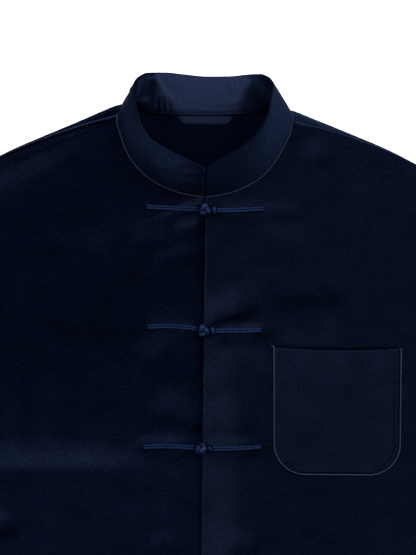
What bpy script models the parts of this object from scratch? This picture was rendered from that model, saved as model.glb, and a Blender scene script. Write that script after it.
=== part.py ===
"""A velvet stand-collar jacket with knotted frog fastenings, laid flat with its front up.

The jacket lies on the plane z = 0. X runs across it, towards the wearer's left sleeve, and Y runs
from the hem to the collar. Sizes are in metres. Plan positions in the tables are measured from the
middle of the back neck seam; an empty then carries every piece so that the origin is at the middle
of the jacket's footprint.
"""

import math
from collections import namedtuple

import bmesh
import bpy
import numpy as np
from mathutils import Vector

# Cloth and seams
VELVET = 0.0020
COLLAR_CLOTH = 0.0026
POCKET_CLOTH = 0.0014
TAB_CLOTH = 0.0012
SEAM = 0.0003
SHOULDER_GAP = 0.0007
LAID_ON = 0.0006

# Heights of the laid cloth: the outline is a soft fold, half as high as the two layers together
EDGE = 0.0032
TOP = 2 * EDGE
LOFT = 0.0008
HEM_SETTLE = 0.0016
HEM_SETTLE_LENGTH = 0.050
RELIEF_FADE = 0.034

# Body
HEM_Y = -0.710
HEM_SIDE_Y = -0.705
HEM_HALF_WIDTH = 0.293
YOKE_INSET = 0.014

# Trimmings
PIPING_RADIUS = 0.00075
POCKET_PIPING_RADIUS = 0.0008
CORD_RADIUS = 0.0011
CORD_PITCH = 0.0025
KNOT_RADIUS = 0.0060
KNOT_HEIGHT = 0.0111
KNOT_RELIEF = 0.03
LOOP_RADIUS = 0.0058
LOOP_LIFT = 0.0031
STEM_FOOT = 0.0020
LOOP_OPENING = math.radians(50)
ARM_START = 0.0095
LOOP_ARM_START = 0.0125
BINDING_X = 0.0100
BINDING_RADII = (0.0029, 0.0043, 0.0017)
TIE_OVERHANG = 0.2
TIE_SHARE = 0.8

# Pocket on the wearer's left front
POCKET_X = 0.1345
POCKET_TOP = -0.2335
POCKET_WIDTH = 0.125
POCKET_DEPTH = 0.1255
POCKET_LEAN = 0.0032
POCKET_CORNER = 0.030
POCKET_MOUTH_SAG = 0.0025
POCKET_MOUTH_GAPE = 0.0014

# Hanger tab inside the back neck
TAB_X = -0.0004
TAB_TOP_WIDTH = 0.0575
TAB_FOOT_WIDTH = 0.0445
TAB_DROP = 0.0082
TAB_TOP = -0.0030

COLLECTION = "stand_collar_jacket"

# Right half of the shoulder line: the outline, and how far round it the back's cloth reaches.
# A positive reach is on top, measured along the cloth from the outline's widest line.
ShoulderRow = namedtuple("ShoulderRow", "x outline_y reach")
SHOULDER = (
    ShoulderRow(0.0000, 0.0046, -0.0054),
    ShoulderRow(0.0600, 0.0085, -0.0054),
    ShoulderRow(0.0740, 0.0095, -0.0042),
    ShoulderRow(0.0830, 0.0066, -0.0005),
    ShoulderRow(0.0885, 0.0050, 0.0104),
    ShoulderRow(0.1200, -0.0080, 0.0062),
    ShoulderRow(0.1500, -0.0205, 0.0036),
    ShoulderRow(0.1900, -0.0380, 0.0013),
    ShoulderRow(0.2120, -0.0490, 0.0006),
    ShoulderRow(0.2400, -0.0650, 0.0000),
)
NECK_POINT_X = 0.0890
SHOULDER_TIP_X = 0.2400

# Plan curves of the right half, each through a few points, by its share of the way along
PlanRow = namedtuple("PlanRow", "share x y")
NECKLINE = (
    PlanRow(0.00, 0.0883, -0.0105),
    PlanRow(0.25, 0.0775, -0.0345),
    PlanRow(0.50, 0.0632, -0.0535),
    PlanRow(0.75, 0.0370, -0.0722),
    PlanRow(1.00, SEAM / 2, -0.0812),
)
ARMHOLE = (
    PlanRow(0.00, 0.2385, -0.0802),
    PlanRow(0.25, 0.2285, -0.1370),
    PlanRow(0.50, 0.2265, -0.1980),
    PlanRow(0.75, 0.2400, -0.2660),
    PlanRow(1.00, 0.2900, -0.3300),
)
OVERARM = (
    PlanRow(0.00, 0.2400, -0.0650),
    PlanRow(0.10, 0.2880, -0.1010),
    PlanRow(0.55, 0.4889, -0.2817),
    PlanRow(1.00, 0.6895, -0.4620),
)
UNDERARM = (
    PlanRow(0.00, 0.2900, -0.3300),
    PlanRow(0.12, 0.3270, -0.3570),
    PlanRow(0.55, 0.4560, -0.4640),
    PlanRow(1.00, 0.5891, -0.5735),
)

# The shoulders lie off square, up on the wearer's right and down on the left, most at the neck points
AskewRow = namedtuple("AskewRow", "x right_up left_down")
ASKEW = (
    AskewRow(0.000, 0.0000, 0.0000),
    AskewRow(0.089, 0.0022, 0.0018),
    AskewRow(0.105, 0.0020, 0.0016),
    AskewRow(0.120, 0.0017, 0.0009),
    AskewRow(0.150, 0.0012, 0.0003),
    AskewRow(0.180, 0.0012, -0.0003),
    AskewRow(0.210, 0.0011, 0.0000),
    AskewRow(0.330, 0.0000, 0.0000),
)
ASKEW_TOP = -0.030
ASKEW_FOOT = -0.140

# The collar band, from the wearer's right front edge (share -1) round the back to the left one:
# its seam and its top
CollarRow = namedtuple("CollarRow", "share seam_x seam_y seam_z top_x top_y top_z")
COLLAR = (
    CollarRow(-1.000, -0.0006, -0.0819, 0.0090, -0.0004, -0.0556, 0.0345),
    CollarRow(-0.907, -0.0210, -0.0788, 0.0090, -0.0177, -0.0474, 0.0335),
    CollarRow(-0.794, -0.0442, -0.0704, 0.0090, -0.0382, -0.0375, 0.0335),
    CollarRow(-0.690, -0.0630, -0.0570, 0.0090, -0.0556, -0.0254, 0.0340),
    CollarRow(-0.588, -0.0766, -0.0386, 0.0090, -0.0659, -0.0073, 0.0340),
    CollarRow(-0.485, -0.0848, -0.0160, 0.0090, -0.0704, 0.0134, 0.0325),
    CollarRow(-0.450, -0.0866, -0.0092, 0.0090, -0.0713, 0.0206, 0.0300),
    CollarRow(-0.396, -0.0848, 0.0026, 0.0082, -0.0691, 0.0304, 0.0260),
    CollarRow(-0.356, -0.0772, 0.0054, 0.0064, -0.0640, 0.0358, 0.0230),
    CollarRow(-0.321, -0.0694, 0.0038, 0.0050, -0.0579, 0.0386, 0.0200),
    CollarRow(-0.227, -0.0494, -0.0004, 0.0038, -0.0410, 0.0391, 0.0185),
    CollarRow(-0.116, -0.0255, -0.0014, 0.0036, -0.0211, 0.0374, 0.0180),
    CollarRow(0.000, 0.0000, -0.0016, 0.0036, -0.0002, 0.0356, 0.0180),
    CollarRow(0.145, 0.0310, -0.0003, 0.0036, 0.0237, 0.0361, 0.0180),
    CollarRow(0.254, 0.0543, 0.0026, 0.0040, 0.0418, 0.0380, 0.0190),
    CollarRow(0.320, 0.0684, 0.0054, 0.0050, 0.0534, 0.0386, 0.0200),
    CollarRow(0.352, 0.0752, 0.0064, 0.0062, 0.0585, 0.0367, 0.0230),
    CollarRow(0.379, 0.0808, 0.0060, 0.0076, 0.0625, 0.0338, 0.0260),
    CollarRow(0.432, 0.0851, -0.0028, 0.0090, 0.0657, 0.0267, 0.0300),
    CollarRow(0.493, 0.0824, -0.0181, 0.0090, 0.0638, 0.0138, 0.0330),
    CollarRow(0.552, 0.0770, -0.0305, 0.0090, 0.0621, 0.0022, 0.0340),
    CollarRow(0.668, 0.0641, -0.0519, 0.0090, 0.0531, -0.0182, 0.0340),
    CollarRow(0.756, 0.0502, -0.0652, 0.0090, 0.0411, -0.0304, 0.0335),
    CollarRow(0.870, 0.0281, -0.0763, 0.0090, 0.0230, -0.0429, 0.0335),
    CollarRow(0.967, 0.0075, -0.0810, 0.0090, 0.0068, -0.0522, 0.0345),
    CollarRow(1.000, 0.0006, -0.0819, 0.0090, 0.0016, -0.0556, 0.0345),
)
COLLAR_CROWN = 0.0015
PIPING_START = 0.42
PIPING_END = 0.995

# Frogs, from the collar down: place of the knot, reach of each arm, and how far its end is lifted
FrogRow = namedtuple("FrogRow", "x y right_reach right_lift left_reach left_lift")
FROGS = (
    FrogRow(0.0003, -0.0968, 0.0578, 0.0018, 0.0582, 0.0021),
    FrogRow(0.0002, -0.2174, 0.0555, 0.0024, 0.0570, 0.0012),
    FrogRow(-0.0008, -0.3356, 0.0572, 0.0016, 0.0593, 0.0027),
    FrogRow(-0.0004, -0.4550, 0.0576, 0.0016, 0.0579, 0.0018),
    FrogRow(-0.0002, -0.5740, 0.0576, 0.0018, 0.0584, 0.0020),
)

# The largest folds: a ridge from one point to another, with its half width and height
FoldRow = namedtuple("FoldRow", "x y to_x to_y width height")
FOLDS = (
    FoldRow(-0.235, -0.366, -0.065, -0.363, 0.030, 0.0032),
    FoldRow(-0.235, -0.478, -0.040, -0.474, 0.045, 0.0022),
    FoldRow(-0.225, -0.185, -0.075, -0.140, 0.040, 0.0011),
    FoldRow(-0.068, -0.129, -0.012, -0.114, 0.012, 0.0014),
    FoldRow(-0.050, -0.303, -0.010, -0.311, 0.014, 0.0018),
    FoldRow(0.010, -0.207, 0.046, -0.194, 0.018, 0.0013),
    FoldRow(0.010, -0.311, 0.046, -0.307, 0.012, 0.0010),
    FoldRow(0.056, -0.270, 0.056, -0.580, 0.040, 0.0030),
    FoldRow(0.235, -0.462, 0.130, -0.507, 0.018, 0.0020),
    FoldRow(-0.225, -0.560, -0.070, -0.520, 0.020, 0.0028),
    FoldRow(0.090, -0.630, 0.235, -0.560, 0.020, 0.0028),
    FoldRow(0.292, -0.285, 0.240, -0.140, 0.020, 0.0030),
    FoldRow(0.390, -0.380, 0.330, -0.180, 0.020, 0.0034),
    FoldRow(0.480, -0.430, 0.440, -0.290, 0.018, 0.0034),
    FoldRow(0.560, -0.500, 0.545, -0.380, 0.016, 0.0024),
    FoldRow(-0.286, -0.280, -0.236, -0.150, 0.020, 0.0030),
    FoldRow(-0.370, -0.350, -0.335, -0.190, 0.020, 0.0034),
    FoldRow(-0.475, -0.440, -0.430, -0.270, 0.019, 0.0032),
    FoldRow(-0.575, -0.500, -0.530, -0.370, 0.016, 0.0024),
)

# Grid densities, in cells
YOKE_CELLS = 3
NECK_CELLS = 6
CHEST_CELLS = 6
SKIRT_CELLS = 14
FRONT_CELLS = 14
BACK_WRAP_CELLS = 6
BACK_CELLS = 12
SLEEVE_LENGTH_CELLS = 15
EDGE_TURNS = (math.pi / 2, math.pi / 4, 0.0)
COLLAR_CELLS = 50
COLLAR_HEIGHT_CELLS = 4

# Shares of the front's length at the foot of the neckline and at the underarm
NECK_SHARE = 0.17
UNDERARM_SHARE = 0.40
# Share of the sleeve's first section that lies on the shoulder, above the yoke line
YOKE_SHARE = 0.05


def smooth(table, share):
    """The values of a table's later columns where its first column reaches `share`, with no overshoot."""
    rows = np.array(table, float)
    keys, values = rows[:, 0], rows[:, 1:]
    rise = np.diff(values, axis=0) / np.diff(keys)[:, None]
    before, after = rise[:-1], rise[1:]
    level = before * after <= 0
    inner = np.where(level, 0.0, 2 * before * after / np.where(level, 1.0, before + after))
    slopes = np.vstack((rise[:1], inner, rise[-1:]))
    k = int(np.clip(np.searchsorted(keys, share) - 1, 0, len(keys) - 2))
    span = keys[k + 1] - keys[k]
    t = (share - keys[k]) / span
    start, end = (1 + 2 * t) * (1 - t) ** 2, t * t * (3 - 2 * t)
    leave, arrive = t * (1 - t) ** 2 * span, t * t * (t - 1) * span
    return start * values[k] + end * values[k + 1] + leave * slopes[k] + arrive * slopes[k + 1]


def blend(a, b, share):
    return a + (b - a) * share


def ease(share):
    share = min(max(share, 0.0), 1.0)
    return share * share * (3 - 2 * share)


# Outline and relief

def outline_chains():
    """The folded or seamed outlines of the right half: shoulder with overarm, and side with underarm."""
    steps = np.linspace(0, 1, 13)
    shoulder = [(row.x, row.outline_y) for row in SHOULDER if row.x >= NECK_POINT_X]
    overarm = [smooth(OVERARM, s) for s in steps]
    side = [(HEM_HALF_WIDTH, HEM_SIDE_Y)]
    underarm = [smooth(UNDERARM, s) for s in steps]
    return np.array(shoulder + overarm[1:]), np.array(side + underarm)


OUTLINES = outline_chains()


def outline_distance(x, y):
    """Plan distance to the nearest outline; both halves share the right half's outline."""
    point = np.array((abs(x), y))
    nearest = math.inf
    for chain in OUTLINES:
        a, run = chain[:-1], np.diff(chain, axis=0)
        t = np.clip(((point - a) * run).sum(1) / (run * run).sum(1), 0, 1)
        nearest = min(nearest, np.linalg.norm(a + run * t[:, None] - point, axis=1).min())
    return nearest


def fold_height(x, y):
    height = 0.0
    for fold in FOLDS:
        run = Vector((fold.to_x - fold.x, fold.to_y - fold.y))
        reach = Vector((x - fold.x, y - fold.y))
        t = reach.dot(run) / run.length_squared
        off = (reach - run * min(max(t, 0.0), 1.0)).length
        height += fold.height * math.exp(-((off / fold.width) ** 2))
    return height


def settle(x, y):
    """How far the upper layer comes down at the open hem and cuffs."""
    cuff_top, cuff_foot = smooth(OVERARM, 1.0), smooth(UNDERARM, 1.0)
    across = (cuff_top - cuff_foot) / np.linalg.norm(cuff_top - cuff_foot)
    to_cuff = abs((abs(x) - cuff_foot[0]) * across[1] - (y - cuff_foot[1]) * across[0])
    to_hem = abs(y - HEM_Y) if abs(x) < HEM_HALF_WIDTH else math.inf
    return HEM_SETTLE * (1 - ease(min(to_cuff, to_hem) / HEM_SETTLE_LENGTH))


def top_height(x, y):
    """Height of the upper layer's outer face, away from the outline."""
    inside = ease(outline_distance(x, y) / RELIEF_FADE)
    return TOP + inside * (LOFT + fold_height(x, y)) - settle(x, y)


def rolled(turn, depth, upper):
    """Inset and height on the quarter roll at an outline, for a seam at the outline's widest line."""
    radius = EDGE - SEAM / 2
    rise = SEAM / 2 + (radius - depth) * math.sin(turn)
    inset = radius - (radius - depth) * math.cos(turn)
    return inset, EDGE + (rise if upper else -rise)


def wrapped(reach, depth):
    """Inset and height on cloth that wraps the outline, at a reach along it from the widest line."""
    turn = max(min(reach / EDGE, math.pi / 2), -math.pi / 2)
    flat = max(abs(reach) - EDGE * math.pi / 2, 0.0)
    inset = EDGE - (EDGE - depth) * math.cos(turn) + flat
    return inset, EDGE + (EDGE - depth) * math.sin(turn)


# Plan of the body

def outer_edge(share):
    """Armhole, then side seam, from the yoke line to the hem."""
    if share <= UNDERARM_SHARE:
        return smooth(ARMHOLE, share / UNDERARM_SHARE)
    down = (share - UNDERARM_SHARE) / (1 - UNDERARM_SHARE)
    return blend(smooth(ARMHOLE, 1.0), np.array((HEM_HALF_WIDTH, HEM_SIDE_Y)), down)


def front_edge(share):
    """Neckline, then centre front edge, from the yoke line to the hem."""
    if share <= NECK_SHARE:
        return smooth(NECKLINE, share / NECK_SHARE)
    down = (share - NECK_SHARE) / (1 - NECK_SHARE)
    return blend(smooth(NECKLINE, 1.0), np.array((SEAM / 2, HEM_Y)), down)


def back_middle(share):
    return np.array((0.0, blend(SHOULDER[0].outline_y - YOKE_INSET, HEM_Y, share)))


def yoke_line(x):
    """A line on the body just below the shoulder's roll."""
    return np.array((x, smooth(SHOULDER, x)[0] - YOKE_INSET))


def hem_line(share):
    return np.array((HEM_HALF_WIDTH * share, blend(HEM_Y, HEM_SIDE_Y, share ** 2)))


def patch(top, foot, inner, outer, across, down):
    """A point of the surface patch between four plan curves."""
    corners = (top(0.0) * (1 - across) + top(1.0) * across) * (1 - down)
    corners = corners + (foot(0.0) * (1 - across) + foot(1.0) * across) * down
    rails = top(across) * (1 - down) + foot(across) * down
    return rails + inner(down) * (1 - across) + outer(down) * across - corners


def front_plan(across, down):
    def top(share):
        return yoke_line(blend(NECKLINE[0].x, ARMHOLE[0].x, share))

    return patch(top, hem_line, front_edge, outer_edge, across, down)


def back_plan(across, down):
    def top(share):
        return yoke_line(ARMHOLE[0].x * share)

    return patch(top, hem_line, back_middle, outer_edge, across, down)


def body_shares():
    """Shares down the body, with grid lines at the foot of the neckline and at the underarm."""
    neck = np.linspace(0, NECK_SHARE, NECK_CELLS + 1)
    chest = np.linspace(NECK_SHARE, UNDERARM_SHARE, CHEST_CELLS + 1)
    skirt = np.linspace(UNDERARM_SHARE, 1, SKIRT_CELLS + 1)
    return np.concatenate((neck, chest[1:], skirt[1:]))


# Making objects

def finish_material(name, colour, roughness):
    material = bpy.data.materials.new(name)
    material.use_nodes = True
    shader = material.node_tree.nodes["Principled BSDF"]
    shader.inputs["Base Color"].default_value = (*colour, 1.0)
    shader.inputs["Roughness"].default_value = roughness
    shader.inputs["Metallic"].default_value = 0.0
    return material


def add_object(name, data, material):
    made = bpy.data.objects.new(name, data)
    data.materials.append(material)
    bpy.data.collections[COLLECTION].objects.link(made)
    made.parent = bpy.data.objects["jacket"]
    return made


def cloth_wall(name, columns, rows, face, material):
    """A closed wall of cloth; face(column, row, inner) is a point on its outer or its inner side."""
    grid = bmesh.new()
    bmesh.ops.create_grid(grid, x_segments=columns - 1, y_segments=rows - 1, size=1.0)
    outer = list(grid.verts)
    made = bmesh.ops.extrude_face_region(grid, geom=grid.faces[:], use_keep_orig=True)
    inner = [item for item in made["geom"] if isinstance(item, bmesh.types.BMVert)]
    for verts, is_inner in ((outer, False), (inner, True)):
        for vert in verts:
            column = round((vert.co.x + 1) / 2 * (columns - 1))
            row = round((vert.co.y + 1) / 2 * (rows - 1))
            vert.co = face(column, row, is_inner)
    bmesh.ops.recalc_face_normals(grid, faces=grid.faces[:])
    if grid.calc_volume(signed=True) < 0:
        bmesh.ops.reverse_faces(grid, faces=grid.faces[:])
    mesh = bpy.data.meshes.new(name)
    grid.to_mesh(mesh)
    grid.free()
    mesh.shade_smooth()
    mesh.set_sharp_from_angle(angle=math.radians(40))
    return add_object(name, mesh, material)


def cord_curve(name, points, radius, material, sides_resolution=1):
    """A round cord along points, with closed ends."""
    curve = bpy.data.curves.new(name, "CURVE")
    curve.dimensions = "3D"
    curve.bevel_depth = radius
    curve.bevel_resolution = sides_resolution
    curve.use_fill_caps = True
    spline = curve.splines.new("POLY")
    spline.points.add(len(points) - 1)
    for knot, point in zip(spline.points, points):
        knot.co = (*point, 1.0)
    return add_object(name, curve, material)


def as_mesh(made):
    """Replaces a curve object by a closed mesh object of the same name."""
    bpy.context.view_layer.update()
    graph = bpy.context.evaluated_depsgraph_get()
    mesh = bpy.data.meshes.new_from_object(made.evaluated_get(graph))
    welded = bmesh.new()
    welded.from_mesh(mesh)
    bmesh.ops.remove_doubles(welded, verts=welded.verts[:], dist=1e-5)
    bmesh.ops.recalc_face_normals(welded, faces=welded.faces[:])
    welded.to_mesh(mesh)
    welded.free()
    name, material = made.name, made.data.materials[0]
    bpy.data.objects.remove(made)
    mesh.materials.clear()
    return add_object(name, mesh, material)


def union(whole, pieces):
    """Joins mesh objects into one body and removes the loose pieces."""
    for piece in pieces:
        join = whole.modifiers.new("join", "BOOLEAN")
        join.operation = "UNION"
        join.object = piece
    bpy.context.view_layer.update()
    graph = bpy.context.evaluated_depsgraph_get()
    joined = bpy.data.meshes.new_from_object(whole.evaluated_get(graph))
    whole.modifiers.clear()
    whole.data = joined
    for piece in pieces:
        bpy.data.objects.remove(piece)
    joined.shade_smooth()
    joined.set_sharp_from_angle(angle=math.radians(50))


# Body panels

def set_askew(panel):
    """Moves a panel's shoulders off square, fading out towards the chest and along the sleeves."""
    for vert in panel.data.vertices:
        right_up, left_down = smooth(ASKEW, min(abs(vert.co.x), ASKEW[-1].x))
        fade = ease((vert.co.y - ASKEW_FOOT) / (ASKEW_TOP - ASKEW_FOOT))
        vert.co.y += (right_up if vert.co.x < 0 else -left_down) * fade


def make_front(name, side, velvet):
    """One front, with a butted seam at the shoulder and a rolled edge at the side seam."""
    shares = body_shares()
    inner_columns = FRONT_CELLS
    columns = inner_columns + len(EDGE_TURNS)
    rows = YOKE_CELLS + len(shares)

    def plan(column, down):
        """Plan point, and the roll's turn where the column is on the side seam's roll."""
        edge = outer_edge(down)
        if column < inner_columns:
            across = column / inner_columns * (1 - EDGE / HEM_HALF_WIDTH)
            return front_plan(across, down), None
        turn = EDGE_TURNS[column - inner_columns]
        if down < UNDERARM_SHARE:
            return edge - np.array(((EDGE - SEAM / 2) * turn / (math.pi / 2), 0)), None
        return edge, turn

    def face(column, row, is_inner):
        depth = VELVET if is_inner else 0.0
        if row < YOKE_CELLS:
            start = NECK_POINT_X, SHOULDER_TIP_X
            foot = plan(column, 0.0)[0]
            line_share = (foot[0] - NECKLINE[0].x) / (ARMHOLE[0].x - NECKLINE[0].x)
            x = blend(blend(*start, line_share), foot[0], row / YOKE_CELLS)
            outline_y, reach = smooth(SHOULDER, x)
            flat_reach = YOKE_INSET + EDGE * (math.pi / 2 - 1)
            inset, z = wrapped(blend(reach + SHOULDER_GAP, flat_reach, row / YOKE_CELLS), depth)
            return side * x, outline_y - inset, z
        (x, y), turn = plan(column, shares[row - YOKE_CELLS])
        if turn is None:
            return side * x, y, top_height(x * side, y) - depth
        inset, z = rolled(turn, depth, True)
        return side * (x - inset), y, z - settle(x, y) * math.sin(turn)

    return cloth_wall(name, columns, rows, face, velvet)


def make_back(velvet):
    """The back, flat on its outer face, wrapping forward over both shoulders."""
    shares = body_shares()[::2]
    half = BACK_CELLS + len(EDGE_TURNS)
    columns = 2 * half - 1
    rows = BACK_WRAP_CELLS + len(shares)
    neck_half = tuple(row.x for row in SHOULDER[1:5])
    # On the shoulder, every second grid line of the fronts meets one of the back's.
    meeting = np.arange(2, FRONT_CELLS, 2) / FRONT_CELLS * (1 - EDGE / HEM_HALF_WIDTH)
    stations = (0.0, SHOULDER[1].x / 2, *neck_half, *blend(NECKLINE[0].x, ARMHOLE[0].x, meeting))

    def plan(column, down):
        if column < BACK_CELLS:
            return back_plan(stations[column] / ARMHOLE[0].x, down), None
        turn = EDGE_TURNS[column - BACK_CELLS]
        edge = outer_edge(down)
        if down < UNDERARM_SHARE:
            return edge - np.array(((EDGE - SEAM / 2) * turn / (math.pi / 2), 0)), None
        return edge, turn

    def face(column, row, is_inner):
        side = 1 if column >= half - 1 else -1
        column = abs(column - (half - 1))
        depth = VELVET if is_inner else 0.0
        if row < BACK_WRAP_CELLS:
            foot = plan(column, 0.0)[0]
            x = foot[0] * blend(SHOULDER_TIP_X / ARMHOLE[0].x, 1.0, row / BACK_WRAP_CELLS)
            outline_y, reach = smooth(SHOULDER, x)
            under_reach = -YOKE_INSET - EDGE * (math.pi / 2 - 1)
            inset, z = wrapped(blend(reach, under_reach, row / BACK_WRAP_CELLS), depth)
            return side * x, outline_y - inset, z
        (x, y), turn = plan(column, shares[row - BACK_WRAP_CELLS])
        if turn is None:
            return side * x, y, depth
        inset, z = rolled(turn, depth, False)
        return side * (x - inset), y, z

    return cloth_wall("back", columns, rows, face, velvet)


def make_sleeve(name, side, upper, seam_shares, velvet):
    """The upper or the under piece of a sleeve, seamed along its two folded edges."""
    turns = [(turn, 0.0) for turn in reversed(EDGE_TURNS)]
    middles = [(None, blend(YOKE_SHARE, 1.0, share)) for share in seam_shares[:-1]]
    stations = turns + middles + [(turn, 1.0) for turn in EDGE_TURNS]

    def plan(across, down):
        over, under = smooth(OVERARM, down), smooth(UNDERARM, down)
        point = blend(over, under, across)
        # The first section is the armhole; its curve fades out down the sleeve.
        tip, seam_end = smooth(OVERARM, 0.0), smooth(UNDERARM, 0.0)
        seam = armhole_seam(across) - blend(tip, seam_end, across)
        return point + seam * (1 - down) ** 3

    def face(column, row, is_inner):
        depth = VELVET if is_inner else 0.0
        turn, across = stations[column]
        down = row / SLEEVE_LENGTH_CELLS
        x, y = plan(across, down)
        x += SEAM * (1 - down)
        if turn is None:
            z = top_height(x * side, y) - depth if upper else depth
            return side * x, y, z
        inset, z = rolled(turn, depth, upper)
        inward = plan(1 - across, down) - np.array((x, y))
        x, y = np.array((x, y)) + inward / np.linalg.norm(inward) * inset
        if upper:
            z -= settle(x, y) * math.sin(turn)
        return side * x, y, z

    return cloth_wall(name, len(stations), SLEEVE_LENGTH_CELLS + 1, face, velvet)


def armhole_seam(share):
    """The armhole from the shoulder tip, whose first stretch lies on the shoulder's roll."""
    if share < YOKE_SHARE:
        return blend(smooth(OVERARM, 0.0), smooth(ARMHOLE, 0.0), share / YOKE_SHARE)
    return smooth(ARMHOLE, (share - YOKE_SHARE) / (1 - YOKE_SHARE))


# Collar

def collar_point(share, height):
    """A point of the band's middle surface; the share is negative on the wearer's right."""
    row = smooth(COLLAR, share)
    point = blend(row[:3], row[3:], height)
    point[2] += COLLAR_CROWN * math.sin(math.pi * height)
    return Vector(point)


def make_collar(cloth):
    step = 1e-3

    def face(column, row, is_inner):
        share = blend(-1.0, 1.0, column / COLLAR_CELLS)
        height = row / COLLAR_HEIGHT_CELLS
        ahead, behind = min(share + step, 1.0), max(share - step, -1.0)
        along = collar_point(ahead, height) - collar_point(behind, height)
        up = collar_point(share, 1.0) - collar_point(share, 0.0)
        normal = along.cross(up).normalized()
        return collar_point(share, height) + normal * (COLLAR_CLOTH / 2 * (1 if is_inner else -1))

    return cloth_wall("collar", COLLAR_CELLS + 1, COLLAR_HEIGHT_CELLS + 1, face, cloth)


def make_neck_piping(piping):
    """Piping in the collar seam, over the fronts from one shoulder to the other."""
    offset = COLLAR_CLOTH / 2 + LAID_ON + PIPING_RADIUS
    steps, step = 18, 4e-3
    for name, side in (("neck_piping_right", -1), ("neck_piping_left", 1)):
        points = []
        for k in range(steps + 1):
            share = blend(PIPING_START, PIPING_END, k / steps)
            here, ahead = collar_point(side * share, 0.0), collar_point(side * (share + step), 0.0)
            run = (ahead - here).xy.normalized()
            x, y = here.x - side * run.y * offset, here.y + side * run.x * offset
            points.append((x, y, TOP + LOFT + LAID_ON + PIPING_RADIUS))
        cord_curve(name, points, PIPING_RADIUS, piping)


# Pieces laid on the panels

def make_pocket(velvet, piping):
    """The patch pocket, open at its mouth, and the piping sewn round its edge."""
    columns, rows = 9, 9
    straight = POCKET_DEPTH - POCKET_CORNER
    straight_rows = rows - 4

    def half_width(down):
        into = max(down - straight, 0.0)
        fall = POCKET_CORNER - math.sqrt(max(POCKET_CORNER ** 2 - into ** 2, 0.0))
        return POCKET_WIDTH / 2 - fall

    def lean(across, down):
        """How far the edge nearer the centre front moves outwards towards the foot."""
        return POCKET_LEAN * (1 - across) / 2 * min(down / straight, 1.0)

    def depth_of(row):
        if row <= straight_rows:
            return straight * row / straight_rows
        corner = (row - straight_rows) / (rows - 1 - straight_rows)
        return straight + POCKET_CORNER * math.sin(corner * math.pi / 2)

    def face(column, row, is_inner):
        down = depth_of(row)
        across = 2 * column / (columns - 1) - 1
        x = POCKET_X + across * half_width(down) + lean(across, down)
        open_share = (1 - down / POCKET_DEPTH) * (1 - across ** 2)
        y = POCKET_TOP - down - POCKET_MOUTH_SAG * (1 - across ** 2) * (1 - ease(down / straight))
        lift = LAID_ON + POCKET_MOUTH_GAPE * open_share ** 2
        return x, y, top_height(x, y) + lift + (0.0 if is_inner else POCKET_CLOTH)

    cloth_wall("pocket", columns, rows, face, velvet)

    outside = LAID_ON / 2 + POCKET_PIPING_RADIUS
    corner_steps, side_steps = 5, 6
    half = [(POCKET_WIDTH / 2 + outside, straight * k / side_steps) for k in range(side_steps)]
    for k in range(corner_steps + 1):
        turn = math.pi / 2 * k / corner_steps
        reach = POCKET_CORNER + outside
        half.append((half_width(0) - POCKET_CORNER + reach * math.cos(turn),
                     straight + reach * math.sin(turn)))
    route = [(-x, down) for x, down in half] + [(x, down) for x, down in reversed(half)]
    points = []
    for x, down in route:
        x += POCKET_X + lean(max(min(2 * x / POCKET_WIDTH, 1.0), -1.0), down)
        y = POCKET_TOP - down
        points.append((x, y, top_height(x, y) + LAID_ON + POCKET_PIPING_RADIUS))
    cord_curve("pocket_piping", points, POCKET_PIPING_RADIUS, piping)


def make_tab(cloth):
    """The small tapered hanger tab on the inside of the back."""
    columns, rows = 5, 3

    def face(column, row, is_inner):
        down = row / (rows - 1)
        across = 2 * column / (columns - 1) - 1
        x = TAB_X + across * blend(TAB_TOP_WIDTH, TAB_FOOT_WIDTH, down) / 2
        return x, TAB_TOP - TAB_DROP * down, VELVET + LAID_ON + (0.0 if is_inner else TAB_CLOTH)

    cloth_wall("neck_tab", columns, rows, face, cloth)


def arm_route(frog, side, row_offset, start):
    """One of the two cords of a frog's arm, from its sewn end to the edge of the front."""
    reach = frog.left_reach if side > 0 else frog.right_reach
    lift = frog.left_lift if side > 0 else frog.right_lift
    points = []
    steps = 5
    for k in range(steps + 1):
        out = blend(reach, start, k / steps)
        x = frog.x + side * out
        y = frog.y + lift * (out / reach) ** 2 + row_offset
        points.append((x, y, top_height(x, y) + LAID_ON + CORD_RADIUS))
    return points


def make_knot(name, frog, cord):
    """The wearer's right arm: two cords that run under the loop and rise into the ball knot."""
    base = top_height(frog.x, frog.y) + LAID_ON
    cords = []
    for k, offset in enumerate((-CORD_PITCH / 2, CORD_PITCH / 2)):
        points = arm_route(frog, -1, offset, ARM_START)
        foot = points[-1]
        points.append((frog.x - STEM_FOOT, frog.y + offset, foot[2]))
        points.append((frog.x, frog.y + offset, base + KNOT_HEIGHT - KNOT_RADIUS / 2))
        cords.append(as_mesh(cord_curve(f"{name}_cord_{k}", points, CORD_RADIUS, cord)))
    ball = bmesh.new()
    bmesh.ops.create_uvsphere(ball, u_segments=12, v_segments=8, radius=KNOT_RADIUS)
    for vert in ball.verts:
        turn = math.atan2(vert.co.y, vert.co.x)
        tilt = math.asin(max(-1.0, min(1.0, vert.co.z / KNOT_RADIUS)))
        vert.co *= 1 + KNOT_RELIEF * math.cos(3 * turn) * math.cos(4 * tilt)
        vert.co += Vector((frog.x, frog.y, base + KNOT_HEIGHT))
    mesh = bpy.data.meshes.new(name)
    ball.to_mesh(mesh)
    ball.free()
    union(add_object(name, mesh, cord), cords)


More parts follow.
